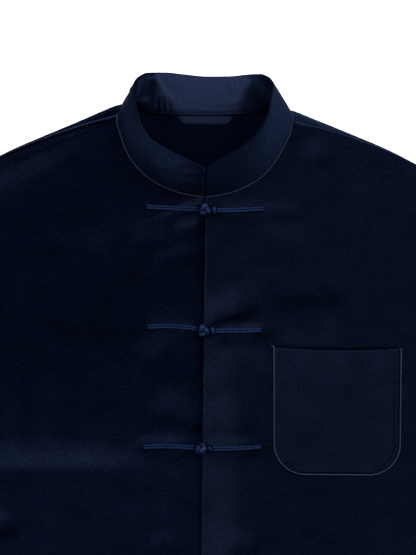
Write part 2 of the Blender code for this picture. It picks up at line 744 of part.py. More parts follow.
def make_loop(name, frog, cord):
    """The wearer's left arm: one cord folded round the knot's stem, its two legs bound side by side."""
    base = top_height(frog.x, frog.y) + LAID_ON
    upper = arm_route(frog, 1, CORD_PITCH / 2, LOOP_ARM_START)
    lower = arm_route(frog, 1, -CORD_PITCH / 2, LOOP_ARM_START)
    ring = []
    steps = 10
    for k in range(steps + 1):
        turn = blend(LOOP_OPENING, 2 * math.pi - LOOP_OPENING, k / steps)
        over = LOOP_LIFT * ease((1 - math.cos(turn)) / 2)
        ring.append((frog.x + LOOP_RADIUS * math.cos(turn), frog.y + LOOP_RADIUS * math.sin(turn),
                     base + CORD_RADIUS + over))
    whole = as_mesh(cord_curve(name, upper + ring + lower[::-1], CORD_RADIUS, cord))

    across = Vector(upper[0]) - Vector(lower[0])
    inset = Vector((-CORD_RADIUS, 0, 0))
    tie = [Vector(lower[0]) - across * TIE_OVERHANG + inset, Vector(upper[0]) + across * TIE_OVERHANG + inset]
    tie_mesh = as_mesh(cord_curve(f"{name}_tie", tie, CORD_RADIUS * TIE_SHARE, cord))

    ball = bmesh.new()
    bmesh.ops.create_uvsphere(ball, u_segments=10, v_segments=6, radius=1.0)
    bmesh.ops.scale(ball, vec=BINDING_RADII, verts=ball.verts[:])
    binding_x = frog.x + BINDING_X
    binding_z = top_height(binding_x, frog.y) + LAID_ON + BINDING_RADII[2]
    place = Vector((binding_x, frog.y, binding_z))
    bmesh.ops.translate(ball, vec=place, verts=ball.verts[:])
    mesh = bpy.data.meshes.new(f"{name}_binding")
    ball.to_mesh(mesh)
    ball.free()
    union(whole, [tie_mesh, add_object(f"{name}_binding", mesh, cord)])


def main():
    for old in list(bpy.data.objects):
        bpy.data.objects.remove(old)
    collection = bpy.data.collections.new(COLLECTION)
    bpy.context.scene.collection.children.link(collection)
    jacket = bpy.data.objects.new("jacket", None)
    collection.objects.link(jacket)

    velvet = finish_material("navy_velvet", (0.004, 0.006, 0.014), 0.85)
    faille = finish_material("navy_collar_cloth", (0.010, 0.015, 0.036), 0.60)
    piping = finish_material("piping_satin", (0.030, 0.034, 0.070), 0.45)
    cord = finish_material("frog_cord", (0.014, 0.024, 0.075), 0.50)

    panels = [make_back(velvet), make_front("front_right", -1, velvet), make_front("front_left", 1, velvet)]
    seam_shares = body_shares()[:NECK_CELLS + CHEST_CELLS + 1] / UNDERARM_SHARE
    for side, hand in ((-1, "right"), (1, "left")):
        panels.append(make_sleeve(f"sleeve_{hand}_upper", side, True, seam_shares, velvet))
        panels.append(make_sleeve(f"sleeve_{hand}_under", side, False, seam_shares[::2], velvet))
    for panel in panels:
        set_askew(panel)
    collar = make_collar(faille)
    make_neck_piping(piping)
    make_tab(faille)
    make_pocket(velvet, piping)
    for number, frog in enumerate(FROGS, 1):
        make_knot(f"frog_{number}_knot", frog, cord)
        make_loop(f"frog_{number}_loop", frog, cord)

    # The origin is halfway between the hem and the collar's highest edge.
    crest = max(vert.co.y for vert in collar.data.vertices)
    jacket.location = (0.0, -(crest + HEM_Y) / 2, 0.0)


main()
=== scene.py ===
import math
from collections import namedtuple

import bpy
import numpy as np
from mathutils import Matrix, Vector


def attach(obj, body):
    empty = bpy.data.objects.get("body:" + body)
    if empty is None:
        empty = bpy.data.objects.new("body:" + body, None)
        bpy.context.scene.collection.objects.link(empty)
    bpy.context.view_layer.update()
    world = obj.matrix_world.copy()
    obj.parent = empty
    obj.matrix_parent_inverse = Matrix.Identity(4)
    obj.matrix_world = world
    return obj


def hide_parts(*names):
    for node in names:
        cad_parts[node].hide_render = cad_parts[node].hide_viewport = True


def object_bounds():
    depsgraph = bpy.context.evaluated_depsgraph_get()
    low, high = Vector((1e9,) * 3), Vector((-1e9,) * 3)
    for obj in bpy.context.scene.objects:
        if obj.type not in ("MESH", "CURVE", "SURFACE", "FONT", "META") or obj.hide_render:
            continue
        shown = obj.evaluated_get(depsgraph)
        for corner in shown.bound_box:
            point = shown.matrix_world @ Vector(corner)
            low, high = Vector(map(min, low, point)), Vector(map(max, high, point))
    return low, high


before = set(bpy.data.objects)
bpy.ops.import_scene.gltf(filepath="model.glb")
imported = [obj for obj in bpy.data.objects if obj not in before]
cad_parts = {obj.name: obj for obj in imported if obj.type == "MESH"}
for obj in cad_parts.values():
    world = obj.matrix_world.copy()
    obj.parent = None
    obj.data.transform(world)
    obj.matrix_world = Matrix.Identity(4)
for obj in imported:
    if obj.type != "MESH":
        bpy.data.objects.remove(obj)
cadLow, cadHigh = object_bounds()

# shared sizes in metres; plan tables start at the middle of the back neck seam
cloth = {"velvet": 0.0020, "collar": 0.0026, "pocket": 0.0014, "tab": 0.0012, "seam": 0.0003,
         "shoulderGap": 0.0005, "laidOn": 0.0006}
laid = {"edge": 0.0032, "loft": 0.0008, "hemSettle": 0.0016, "settleLength": 0.050, "reliefFade": 0.034,
        "fadeShare": 0.3, "longestFade": 0.032, "leftCalm": 0.6, "calmWidth": 0.05, "askewFrom": -0.140,
        "askewOver": 0.110, "outlineSteps": 13}
body = {"hemY": -0.710, "hemSideY": -0.705, "hemHalf": 0.293, "yokeInset": 0.014, "neckPointX": 0.0890,
        "shoulderTipX": 0.2400, "neckShare": 0.17, "underarmShare": 0.40, "underarmBlend": 0.02,
        "yokeShare": 0.05}
topPly = 2 * laid["edge"]
neckY = cadLow.y - body["hemY"]  # world y of the back neck seam

shoulderLine = ((0.0000, 0.0046, -0.0054), (0.0600, 0.0085, -0.0044), (0.0740, 0.0095, -0.0030),
                (0.0830, 0.0066, 0.0006), (0.0885, 0.0050, 0.0104), (0.1200, -0.0080, 0.0062),
                (0.1500, -0.0205, 0.0036), (0.1900, -0.0380, 0.0013), (0.2120, -0.0490, 0.0006),
                (0.2400, -0.0650, 0.0000))  # x, outline y, reach of the back round the outline
neckline = ((0.00, 0.0883, -0.0105), (0.25, 0.0775, -0.0345), (0.50, 0.0632, -0.0535),
            (0.75, 0.0370, -0.0722), (1.00, cloth["seam"] / 2, -0.0812))
armhole = ((0.00, 0.2385, -0.0802), (0.25, 0.2285, -0.1370), (0.50, 0.2265, -0.1980),
           (0.75, 0.2400, -0.2660), (1.00, 0.2900, -0.3300))
overarm = ((0.00, 0.2400, -0.0650), (0.10, 0.2880, -0.1010), (0.55, 0.4889, -0.2817),
           (1.00, 0.6895, -0.4620))
underarm = ((0.00, 0.2900, -0.3300), (0.12, 0.3270, -0.3570), (0.55, 0.4560, -0.4640),
            (1.00, 0.5891, -0.5735))
askewRows = ((0.000, 0.0, 0.0), (0.089, 0.0022, 0.0018), (0.105, 0.0020, 0.0016), (0.120, 0.0017, 0.0009),
             (0.150, 0.0012, 0.0003), (0.180, 0.0012, -0.0003), (0.210, 0.0011, 0.0),
             (0.330, 0.0, 0.0))  # x, rise on the right, drop on the left

# folds: start x, y, end x, y, bend, half width left of the run, half width right of it, height
folds = ((-0.235, -0.366, -0.065, -0.363, 0.002, 0.020, 0.080, 0.0030),
         (-0.235, -0.478, -0.030, -0.474, 0.002, 0.060, 0.050, 0.0022),
         (-0.050, -0.3025, -0.001, -0.3125, 0.0015, 0.020, 0.0075, 0.0013),
         (-0.062, -0.331, -0.014, -0.3325, 0.000, 0.007, 0.010, 0.0009),
         (-0.025, -0.118, -0.001, -0.1105, 0.000, 0.008, 0.012, 0.0010),
         (-0.068, -0.1295, -0.028, -0.124, 0.000, 0.025, 0.010, 0.0010),
         (-0.046, -0.149, -0.006, -0.140, 0.000, 0.011, 0.013, 0.0008),
         (-0.058, -0.0945, -0.010, -0.096, 0.000, 0.010, 0.008, 0.0004),
         (-0.058, -0.241, -0.004, -0.262, 0.001, 0.030, 0.012, 0.0011),
         (-0.225, -0.185, -0.075, -0.140, 0.006, 0.035, 0.050, 0.0011),
         (-0.235, -0.115, -0.155, -0.068, 0.000, 0.030, 0.050, 0.0012),
         (-0.250, -0.418, -0.190, -0.414, -0.001, 0.012, 0.012, 0.0022),
         (-0.048, -0.434, -0.020, -0.434, 0.000, 0.012, 0.006, 0.0007),
         (0.000, -0.2100, 0.046, -0.1945, 0.001, 0.019, 0.0090, 0.0019),
         (0.070, -0.1995, 0.128, -0.197, 0.000, 0.014, 0.040, -0.0005),
         (0.112, -0.012, 0.118, -0.046, 0.000, 0.045, 0.013, 0.0008),
         (0.012, -0.2185, 0.064, -0.2170, 0.000, 0.007, 0.010, 0.0014),
         (0.006, -0.1005, 0.090, -0.098, 0.000, 0.0095, 0.009, 0.0008),
         (0.001, -0.3125, 0.046, -0.307, 0.000, 0.018, 0.015, 0.0008),
         (0.008, -0.334, 0.056, -0.332, 0.000, 0.008, 0.010, 0.0011),
         (0.041, -0.238, 0.041, -0.610, 0.002, 0.110, 0.036, 0.0033),
         (0.027, -0.432, 0.055, -0.4325, 0.000, 0.012, 0.006, 0.0008),
         (0.235, -0.462, 0.130, -0.507, -0.006, 0.024, 0.030, 0.0012),
         (-0.225, -0.560, -0.070, -0.520, 0.008, 0.017, 0.024, 0.0028),
         (0.090, -0.630, 0.235, -0.560, -0.007, 0.022, 0.017, 0.0028),
         (0.292, -0.285, 0.240, -0.140, 0.006, 0.017, 0.024, 0.0030),
         (0.390, -0.380, 0.330, -0.180, 0.008, 0.018, 0.023, 0.0034),
         (0.480, -0.430, 0.440, -0.290, -0.006, 0.016, 0.021, 0.0034),
         (0.560, -0.500, 0.545, -0.380, 0.005, 0.014, 0.019, 0.0024),
         (-0.286, -0.280, -0.236, -0.150, -0.006, 0.022, 0.017, 0.0030),
         (-0.370, -0.350, -0.335, -0.190, 0.007, 0.022, 0.017, 0.0034),
         (-0.475, -0.440, -0.430, -0.270, -0.008, 0.017, 0.022, 0.0032),
         (-0.575, -0.500, -0.530, -0.370, 0.005, 0.014, 0.018, 0.0024))
ripples = ((38.0, 21.0, 0.4, 0.00022), (-27.0, 52.0, 1.9, 0.00020), (71.0, -33.0, 4.2, 0.00010),
           (15.0, 88.0, 2.7, 0.00010), (96.0, 44.0, 5.3, 0.00006), (-110.0, 65.0, 0.9, 0.00005))

# painted highlight patches (amount above zero) and painted shade patches (below zero) on the velvet and the
# pocket: start x, y, end x, y, half width, amount
paintedPatches = ((0.078, -0.191, 0.130, -0.188, 0.013, -0.10), (0.059, -0.0905, 0.088, -0.0925, 0.0045, 0.13),
           (0.060, -0.112, 0.092, -0.114, 0.009, 0.08), (0.058, -0.236, 0.075, -0.242, 0.012, -0.05),
           (0.098, -0.028, 0.116, -0.034, 0.010, 0.055), (-0.205, -0.060, -0.185, -0.068, 0.012, 0.04),
           (0.072, -0.372, 0.086, -0.375, 0.014, 0.025), (0.150, -0.405, 0.178, -0.405, 0.020, 0.025),
           (-0.052, -0.2085, -0.010, -0.2120, 0.0032, 0.11), (-0.048, -0.0890, -0.012, -0.0920, 0.0035, 0.02),
           (0.012, -0.190, 0.048, -0.180, 0.012, 0.05), (0.012, -0.245, 0.030, -0.262, 0.012, -0.03),
           (0.043, -0.365, 0.043, -0.435, 0.010, 0.035))
pocketPaintedPatches = ((0.141, -0.247, 0.143, -0.262, 0.007, 0.25), (0.172, -0.245, 0.172, -0.259, 0.007, 0.25),
                 (0.095, -0.352, 0.165, -0.354, 0.005, 0.15))


def mix(a, b, share):
    return a + (b - a) * share


def ease(share):
    share = np.clip(share, 0.0, 1.0)
    return share * share * (3 - 2 * share)


def swell(off, width):  # one along the middle, fading to both sides
    return np.exp(-(off / width) ** 2)


def unit(vectors):
    return vectors / np.linalg.norm(vectors, axis=-1, keepdims=True)


def distance(a, b):
    return np.linalg.norm(a - b, axis=-1)


def lengthAlong(points):
    return np.concatenate(((0,), np.cumsum(distance(points[1:], points[:-1]))))


def strokePlace(startX, startY, endX, endY, x, y):  # a stroke's length, the share along it, the offset
    length = math.hypot(endX - startX, endY - startY)
    wayX, wayY = (endX - startX) / length, (endY - startY) / length
    t = ((x - startX) * wayX + (y - startY) * wayY) / length
    return length, t, (y - startY) * wayX - (x - startX) * wayY


def taper(t, fade):  # one along a stroke, fading over both of its ends
    return ease((t + fade) / (2 * fade)) * ease((1 - t + fade) / (2 * fade))


def along(table, share):  # values of a table at a share of its first column, with no overshoot
    rows, share = np.array(table, float), np.asarray(share, float)
    keys, values = rows[:, 0], rows[:, 1:]
    rise = np.diff(values, axis=0) / np.diff(keys)[:, None]
    before, after = rise[:-1], rise[1:]
    level = before * after <= 0
    inner = np.where(level, 0.0, 2 * before * after / np.where(level, 1.0, before + after))
    slopes = np.vstack((rise[:1], inner, rise[-1:]))
    k = np.clip(np.searchsorted(keys, share) - 1, 0, len(keys) - 2)
    span = (keys[k + 1] - keys[k])[..., None]
    t = (share - keys[k])[..., None] / span
    near = (1 + 2 * t) * (1 - t) ** 2 * values[k] + t * (1 - t) ** 2 * span * slopes[k]
    far = t * t * (3 - 2 * t) * values[k + 1] + t * t * (t - 1) * span * slopes[k + 1]
    return near + far


def outlineChains():
    steps = np.linspace(0, 1, laid["outlineSteps"])
    shoulder = [row[:2] for row in shoulderLine if row[0] >= body["neckPointX"]]
    side = np.array(((body["hemHalf"], body["hemSideY"]),))
    return np.vstack((shoulder, along(overarm, steps)[1:])), np.vstack((side, along(underarm, steps)))


outlines = outlineChains()


def outlineDistance(x, y):
    flat = np.stack((np.abs(x).ravel(), y.ravel()), -1)
    nearest = np.full(len(flat), np.inf)
    for chain in outlines:
        start, run = chain[:-1], np.diff(chain, axis=0)
        reach = flat[:, None] - start[None]
        t = np.clip((reach * run).sum(-1) / (run * run).sum(-1), 0, 1)
        nearest = np.minimum(nearest, np.linalg.norm(reach - run * t[..., None], axis=-1).min(1))
    return nearest.reshape(x.shape)


def foldHeight(x, y):
    total = np.zeros_like(x)
    for startX, startY, endX, endY, bend, leftWidth, rightWidth, height in folds:
        length, t, off = strokePlace(startX, startY, endX, endY, x, y)
        off = off - bend * 4 * t * (1 - t)
        fade = min(laid["fadeShare"] * length, laid["longestFade"]) / length
        isSide = x * (startX + endX) >= 0
        total += height * taper(t, fade) * swell(off, np.where(off > 0, leftWidth, rightWidth)) * isSide
    calm = 1 - laid["leftCalm"] * ease(x / laid["calmWidth"])  # the left front lies smoother
    for waveX, waveY, phase, height in ripples:
        total += height * calm * np.sin(waveX * x + waveY * y + phase)
    return total


def settleDepth(x, y):  # how far the upper layer comes down at the open hem and cuffs
    cuffTop, cuffFoot = along(overarm, 1.0), along(underarm, 1.0)
    across = (cuffTop - cuffFoot) / np.linalg.norm(cuffTop - cuffFoot)
    toCuff = np.abs((np.abs(x) - cuffFoot[0]) * across[1] - (y - cuffFoot[1]) * across[0])
    toHem = np.where(np.abs(x) < body["hemHalf"], np.abs(y - body["hemY"]), np.inf)
    return laid["hemSettle"] * (1 - ease(np.minimum(toCuff, toHem) / laid["settleLength"]))


def topHeight(x, y):
    x, y = np.asarray(x, float), np.asarray(y, float)
    inside = ease(outlineDistance(x, y) / laid["reliefFade"])
    return topPly + inside * (laid["loft"] + foldHeight(x, y)) - settleDepth(x, y)


def rolledEdge(turn, depth, isUpper):  # inset and height on the quarter roll at a side or sleeve seam
    radius = laid["edge"] - cloth["seam"] / 2
    rise = cloth["seam"] / 2 + (radius - depth) * np.sin(turn)
    return radius - (radius - depth) * np.cos(turn), laid["edge"] + (rise if isUpper else -rise)


def wrappedEdge(reach, depth):  # inset and height of cloth that wraps the shoulder's outline
    edge = laid["edge"]
    turn = np.clip(reach / edge, -math.pi / 2, math.pi / 2)
    flat = np.maximum(np.abs(reach) - edge * math.pi / 2, 0.0)
    return edge - (edge - depth) * np.cos(turn) + flat, edge + (edge - depth) * np.sin(turn)


def askew(points):  # the shoulders lie off square: up on the wearer's right, down on the left
    reach = np.minimum(np.abs(points[..., 0]), askewRows[-1][0])
    shift = along(askewRows, reach)
    amount = np.where(points[..., 0] < 0, shift[..., 0], -shift[..., 1])
    moved = points.copy()
    moved[..., 1] += amount * ease((points[..., 1] - laid["askewFrom"]) / laid["askewOver"])
    return moved


def strokeLight(strokes, x, y, width):  # light along short strokes
    total = np.zeros_like(x)
    for stroke in strokes:
        length, t, off = strokePlace(*stroke, x, y)
        total += swell(np.hypot(off, (t - np.clip(t, 0, 1)) * length), width)
    return np.clip(total, 0, 1)


def paintedPatchLight(rows, x, y):
    return sum(row[5] * strokeLight([row[:4]], x, y, row[4]) for row in rows)


# node helpers and materials

def addNode(tree, kind, values=None, **settings):
    made = tree.nodes.new(kind)
    for name, value in settings.items():
        setattr(made, name, value)
    for socket, value in (values or {}).items():
        if isinstance(value, bpy.types.NodeSocket):
            tree.links.new(value, made.inputs[socket])
        else:
            made.inputs[socket].default_value = value
    return made


def mathOf(tree, operation, *values):
    return addNode(tree, "ShaderNodeMath", dict(enumerate(values)), operation=operation).outputs[0]


def vectorOf(tree, operation, *values):
    return addNode(tree, "ShaderNodeVectorMath", dict(enumerate(values)), operation=operation).outputs[0]


def scaleOf(tree, vector, scale):
    return addNode(tree, "ShaderNodeVectorMath", {0: vector, "Scale": scale}, operation="SCALE").outputs[0]


def rangeOf(tree, value, start, end, low=0.0, high=1.0, **settings):
    values = {"Value": value, "From Min": start, "From Max": end, "To Min": low, "To Max": high}
    return addNode(tree, "ShaderNodeMapRange", values, **settings).outputs[0]


def noiseOf(tree, vector, scale, detail, roughness=0.5):
    values = {"Vector": vector, "Scale": scale, "Detail": detail, "Roughness": roughness}
    return addNode(tree, "ShaderNodeTexNoise", values).outputs["Fac"]


def waveOf(tree, vector, direction, scale, distortion, detailScale=1.0):
    values = {"Vector": vector, "Scale": scale, "Distortion": distortion, "Detail Scale": detailScale}
    return addNode(tree, "ShaderNodeTexWave", values, bands_direction=direction).outputs["Fac"]


def gainOf(tree, grain, spread, contrast):  # brightness round one, from a grain's spread
    return mathOf(tree, "MULTIPLY_ADD", rangeOf(tree, grain, *spread, -1.0, 1.0), contrast, 1.0)


socketKinds = {"Weave": "Vector", "PaintedFacing": "Vector", "Shade": "Color", "Lit": "Color", "Colour": "Color"}


def openGroup(name, inputs):
    tree = bpy.data.node_groups.new(name, "ShaderNodeTree")
    for way, titles in (("INPUT", inputs), ("OUTPUT", ("Colour", "Height"))):
        for title in titles:
            kind = "NodeSocket" + socketKinds.get(title, "Float")
            tree.interface.new_socket(title, in_out=way, socket_type=kind)
    return tree, tree.nodes.new("NodeGroupInput").outputs


def closeGroup(tree, colour, height):
    out = tree.nodes.new("NodeGroupOutput")
    tree.links.new(colour, out.inputs["Colour"])
    tree.links.new(height, out.inputs["Height"])
    return tree


velvetPile = {"warp": (380.0, 1000.0, 1.0), "weft": (1000.0, 380.0, 1.0), "patches": (36.0, 52.0, 1.0),
              "details": {"warp": 3.0, "weft": 3.0, "patches": 4.0}, "roughness": 0.6, "patchShare": 0.46,
              "tips": (1500.0, 2.0), "spread": (0.83, 1.63), "paintedShadeSlopes": (-0.13, -0.01), "darkest": 0.42,
              "paintedLitSlopes": (0.014, 0.135), "brightest": 1.3, "paintedSheen": 3.4, "footY": (-0.22, -0.40)}


def pileGroup():  # velvet pile: crossed grain and patches, painted highlight on slopes facing one way and painted shade on slopes facing away, painted highlight from the edge attribute, lighter towards the foot
    tree, given = openGroup("pile", ("Weave", "Shade", "Lit", "PaintedFacing", "Contrast", "Foot", "Edge"))
    grain = {}
    for way, detail in velvetPile["details"].items():
        stretched = vectorOf(tree, "MULTIPLY", given["Weave"], velvetPile[way])
        grain[way] = noiseOf(tree, stretched, 1.0, detail, velvetPile["roughness"])
    crossed = mathOf(tree, "ADD", grain["warp"], grain["weft"])
    patched = mathOf(tree, "MULTIPLY_ADD", grain["patches"], velvetPile["patchShare"], crossed)
    gain = gainOf(tree, patched, velvetPile["spread"], given["Contrast"])
    # painted light: slopes turned towards the painted-facing direction get the lit colour as painted
    # highlight, slopes turned away are darkened as painted shade
    slope = addNode(tree, "ShaderNodeNewGeometry").outputs["Normal"]
    facing = addNode(tree, "ShaderNodeVectorMath", {0: slope, 1: given["PaintedFacing"]}, operation="DOT_PRODUCT")
    paintedfacing = facing.outputs["Value"]
    dim = rangeOf(tree, paintedfacing, *velvetPile["paintedShadeSlopes"], velvetPile["darkest"], 1.0)
    bright = rangeOf(tree, paintedfacing, *velvetPile["paintedLitSlopes"], 0.0, velvetPile["brightest"])
    splayed = mathOf(tree, "MULTIPLY_ADD", given["Edge"], velvetPile["paintedSheen"], bright)
    total = vectorOf(tree, "ADD", scaleOf(tree, given["Shade"], dim), scaleOf(tree, given["Lit"], splayed))
    # lighter towards the foot of the panel
    place = addNode(tree, "ShaderNodeSeparateXYZ", {0: given["Weave"]}).outputs["Y"]
    low = rangeOf(tree, place, *velvetPile["footY"], interpolation_type="SMOOTHSTEP")
    lighterToFoot = mathOf(tree, "MULTIPLY_ADD", low, given["Foot"], 1.0)
    colour = scaleOf(tree, total, mathOf(tree, "MULTIPLY", gain, lighterToFoot))
    tips = noiseOf(tree, given["Weave"], *velvetPile["tips"])
    return closeGroup(tree, colour, mathOf(tree, "ADD", crossed, tips))


collarRibs = {"rib": ("X", 230.0, 0.6, 3.0), "pick": ("Y", 520.0, 0.4), "slub": (420.0, 90.0, 1.0),
              "slubDetail": 4.0, "ribShare": 0.4, "pickShare": 0.25, "spread": (0.3, 1.1),
              "lost": (-0.93, -0.87, -0.79), "facing": (0.22, 0.90)}


def ribGroup():  # fine ribs up the band, with painted shade from the painted-shade attribute, painted highlight from the edge attribute and on the side turned to the left
    tree, given = openGroup("ribs", ("Weave", "Shade", "Lit", "PaintedShade", "Edge", "Contrast"))
    rib = waveOf(tree, given["Weave"], *collarRibs["rib"])
    pick = waveOf(tree, given["Weave"], *collarRibs["pick"])
    stretched = vectorOf(tree, "MULTIPLY", given["Weave"], collarRibs["slub"])
    slub = noiseOf(tree, stretched, 1.0, collarRibs["slubDetail"])
    lines = mathOf(tree, "MULTIPLY_ADD", rib, collarRibs["ribShare"], slub)
    gain = gainOf(tree, lines, collarRibs["spread"], given["Contrast"])
    kept = vectorOf(tree, "ADD", scaleOf(tree, collarRibs["lost"], given["PaintedShade"]), (1.0, 1.0, 1.0))
    base = vectorOf(tree, "MULTIPLY", given["Shade"], kept)
    slope = addNode(tree, "ShaderNodeNewGeometry").outputs["Normal"]
    leftward = addNode(tree, "ShaderNodeSeparateXYZ", {0: slope}).outputs["X"]
    bright = mathOf(tree, "ADD", rangeOf(tree, leftward, *collarRibs["facing"]), given["Edge"])
    total = vectorOf(tree, "ADD", base, scaleOf(tree, given["Lit"], bright))
    height = mathOf(tree, "MULTIPLY_ADD", pick, collarRibs["pickShare"], rib)
    return closeGroup(tree, scaleOf(tree, total, gain), height)


cordBias = {"pucker": ("DIAGONAL", 90.0, 3.0, 2.0), "slub": (380.0, 4.0), "spread": (0.3, 1.7),
            "deepest": 0.06}


def biasGroup():  # satin cut on the bias and wrapped round a cord: slanted puckers, with painted shade from the painted-shade attribute
    tree, given = openGroup("bias", ("Weave", "Shade", "PaintedShade", "Contrast"))
    pucker = waveOf(tree, given["Weave"], *cordBias["pucker"])
    lines = mathOf(tree, "ADD", pucker, noiseOf(tree, given["Weave"], *cordBias["slub"]))
    gain = gainOf(tree, lines, cordBias["spread"], given["Contrast"])
    kept = rangeOf(tree, given["PaintedShade"], 0.0, 1.0, 1.0, cordBias["deepest"])
    return closeGroup(tree, scaleOf(tree, given["Shade"], mathOf(tree, "MULTIPLY", gain, kept)), lines)


def clothMaterial(name, look):
    material = bpy.data.materials.new(name)
    material.use_nodes = True
    tree = material.node_tree
    shader = tree.nodes["Principled BSDF"]
    weave = addNode(tree, "ShaderNodeUVMap", uv_map="weave")
    effect = addNode(tree, "ShaderNodeGroup", {"Weave": weave.outputs[0]}, node_tree=look["group"])
    for title in ("Shade", "Lit", "PaintedFacing", "Foot", "Contrast"):
        if title in effect.inputs:
            value = look[title.lower()]
            effect.inputs[title].default_value = (*value, 1.0) if socketKinds.get(title) == "Color" else value
    # the edge attribute carries painted highlight, and painted shade where it is below zero; the
    # painted-shade attribute darkens
    for title, isUsed in (("Edge", "Edge" in effect.inputs), ("PaintedShade", look.get("paintedshade", False))):
        if isUsed:
            field = addNode(tree, "ShaderNodeAttribute", attribute_name=title.lower())
            tree.links.new(field.outputs["Fac"], effect.inputs[title])
    bump = addNode(tree, "ShaderNodeBump", {"Strength": look["bump"], "Distance": look["relief"],
                                            "Height": effect.outputs["Height"]})
    tree.links.new(effect.outputs["Colour"], shader.inputs["Base Color"])
    tree.links.new(bump.outputs[0], shader.inputs["Normal"])
    for socket, title in (("Roughness", "roughness"), ("Specular IOR Level", "specular"),
                          ("Sheen Weight", "sheen"), ("Sheen Roughness", "sheenRoughness")):
        shader.inputs[socket].default_value = look[title]
    shader.inputs["Sheen Tint"].default_value = (*look["sheenTint"], 1.0)
    return material


velvetLook = {"group": pileGroup(), "foot": 0.0, "bump": 0.35, "relief": 0.0006, "roughness": 0.9,
              "specular": 0.0, "sheen": 0.007, "sheenRoughness": 0.35, "sheenTint": (0.35, 0.55, 1.0)}
ribLook = {"group": ribGroup(), "contrast": 0.30, "bump": 0.30, "relief": 0.0004, "roughness": 0.5,
           "sheen": 0.008, "sheenRoughness": 0.4, "sheenTint": (0.5, 0.65, 1.0)}
biasLook = {"group": biasGroup(), "paintedshade": True, "contrast": 0.16, "bump": 0.20, "relief": 0.0003,
            "roughness": 0.42, "specular": 0.025, "sheen": 0.004, "sheenRoughness": 0.4,
            "sheenTint": (0.5, 0.7, 1.0)}
# shade is each cloth's own colour; lit is the colour added as painted highlight
looks = {
    "velvetRight": {**velvetLook, "shade": (0.00066, 0.0015, 0.0048), "lit": (0.0017, 0.0024, 0.0061),
                    "paintedfacing": (-0.6, 0.8, 0.0), "foot": 0.62, "contrast": 1.0},
    "velvetLeft": {**velvetLook, "shade": (0.0012, 0.0025, 0.0069), "lit": (0.0016, 0.0022, 0.0054),
                   "paintedfacing": (-1.2, 0.8, 0.0), "contrast": 0.95},
    "velvetBack": {**velvetLook, "shade": (0.00050, 0.0013, 0.0046), "lit": (0.0010, 0.0018, 0.0034),
                   "paintedfacing": (0.0, 0.8, 0.0), "contrast": 0.70, "sheen": 0.005},
    "pocket": {**velvetLook, "shade": (0.0019, 0.0035, 0.0096), "lit": (0.0004, 0.0006, 0.0014),
               "paintedfacing": (-0.8, 0.8, 0.0), "contrast": 0.75, "sheen": 0.009, "sheenTint": (0.45, 0.6, 1.0)},
    "collar": {**ribLook, "shade": (0.0012, 0.0028, 0.0091), "lit": (0.0029, 0.0051, 0.0127),
               "contrast": 0.35, "roughness": 0.55, "specular": 0.006, "sheenTint": (0.40, 0.62, 1.0)},
    "collarInside": {**ribLook, "shade": (0.0092, 0.0148, 0.0390), "lit": (0.0020, 0.0030, 0.0062),
                     "paintedshade": True, "specular": 0.03, "sheen": 0.006},
    "tab": {**ribLook, "shade": (0.0038, 0.0068, 0.0200), "lit": (0.0, 0.0, 0.0), "specular": 0.02},
    "piping": {**biasLook, "shade": (0.0130, 0.0172, 0.0410), "contrast": 0.12, "relief": 0.0002,
               "specular": 0.06, "sheen": 0.007, "sheenTint": (0.7, 0.8, 1.0)},
    "cord": {**biasLook, "shade": (0.0042, 0.0106, 0.0388)},
    "knot": {**biasLook, "shade": (0.0062, 0.0146, 0.0480)},
    "cordDeep": {**biasLook, "shade": (0.0008, 0.0020, 0.0072), "roughness": 0.6, "specular": 0.0,
                 "sheen": 0.0},
    "thread": {**biasLook, "shade": (0.0016, 0.0034, 0.0120), "contrast": 0.20, "relief": 0.0002,
               "roughness": 0.6, "specular": 0.03, "sheen": 0.0, "sheenRoughness": 0.5,
               "sheenTint": (0.6, 0.75, 1.0)},
}
materials = {name: clothMaterial(f"navy_{name}", look) for name, look in looks.items()}
print("stage: materials")


# mesh helpers

sharpAngle = math.radians(50)


def addPiece(name, points, faces, weave, finishes, marks=None, fields=None):
    points, faces = np.asarray(points, float), [list(face) for face in faces]
    points[:, 1] += neckY
    mesh = bpy.data.meshes.new(name)
    mesh.from_pydata(points.tolist(), [], faces)
    corners = np.concatenate([np.asarray(face) for face in faces])
    layer = mesh.uv_layers.new(name="weave")
    layer.data.foreach_set("uv", np.asarray(weave, float)[corners].ravel())
    for title, values in (fields or {}).items():
        mesh.attributes.new(title, "FLOAT", "POINT").data.foreach_set("value", values)
    for finish in finishes:
        mesh.materials.append(materials[finish])
    if marks is not None:
        mesh.polygons.foreach_set("material_index", marks)
    mesh.shade_smooth()
    mesh.set_sharp_from_angle(angle=sharpAngle)
    mesh.update()
    piece = bpy.data.objects.new(name, mesh)
    bpy.context.scene.collection.objects.link(piece)
    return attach(piece, "root")


def standsFor(node):
    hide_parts(node)


def gridFaces(rows, columns):
    index = np.arange(rows * columns).reshape(rows, columns)
    quads = np.stack((index[:-1, :-1], index[:-1, 1:], index[1:, 1:], index[1:, :-1]), -1).reshape(-1, 4)
    ring = np.concatenate((index[0, :-1], index[:-1, -1], index[-1, :0:-1], index[:0:-1, 0]))
    return quads, ring


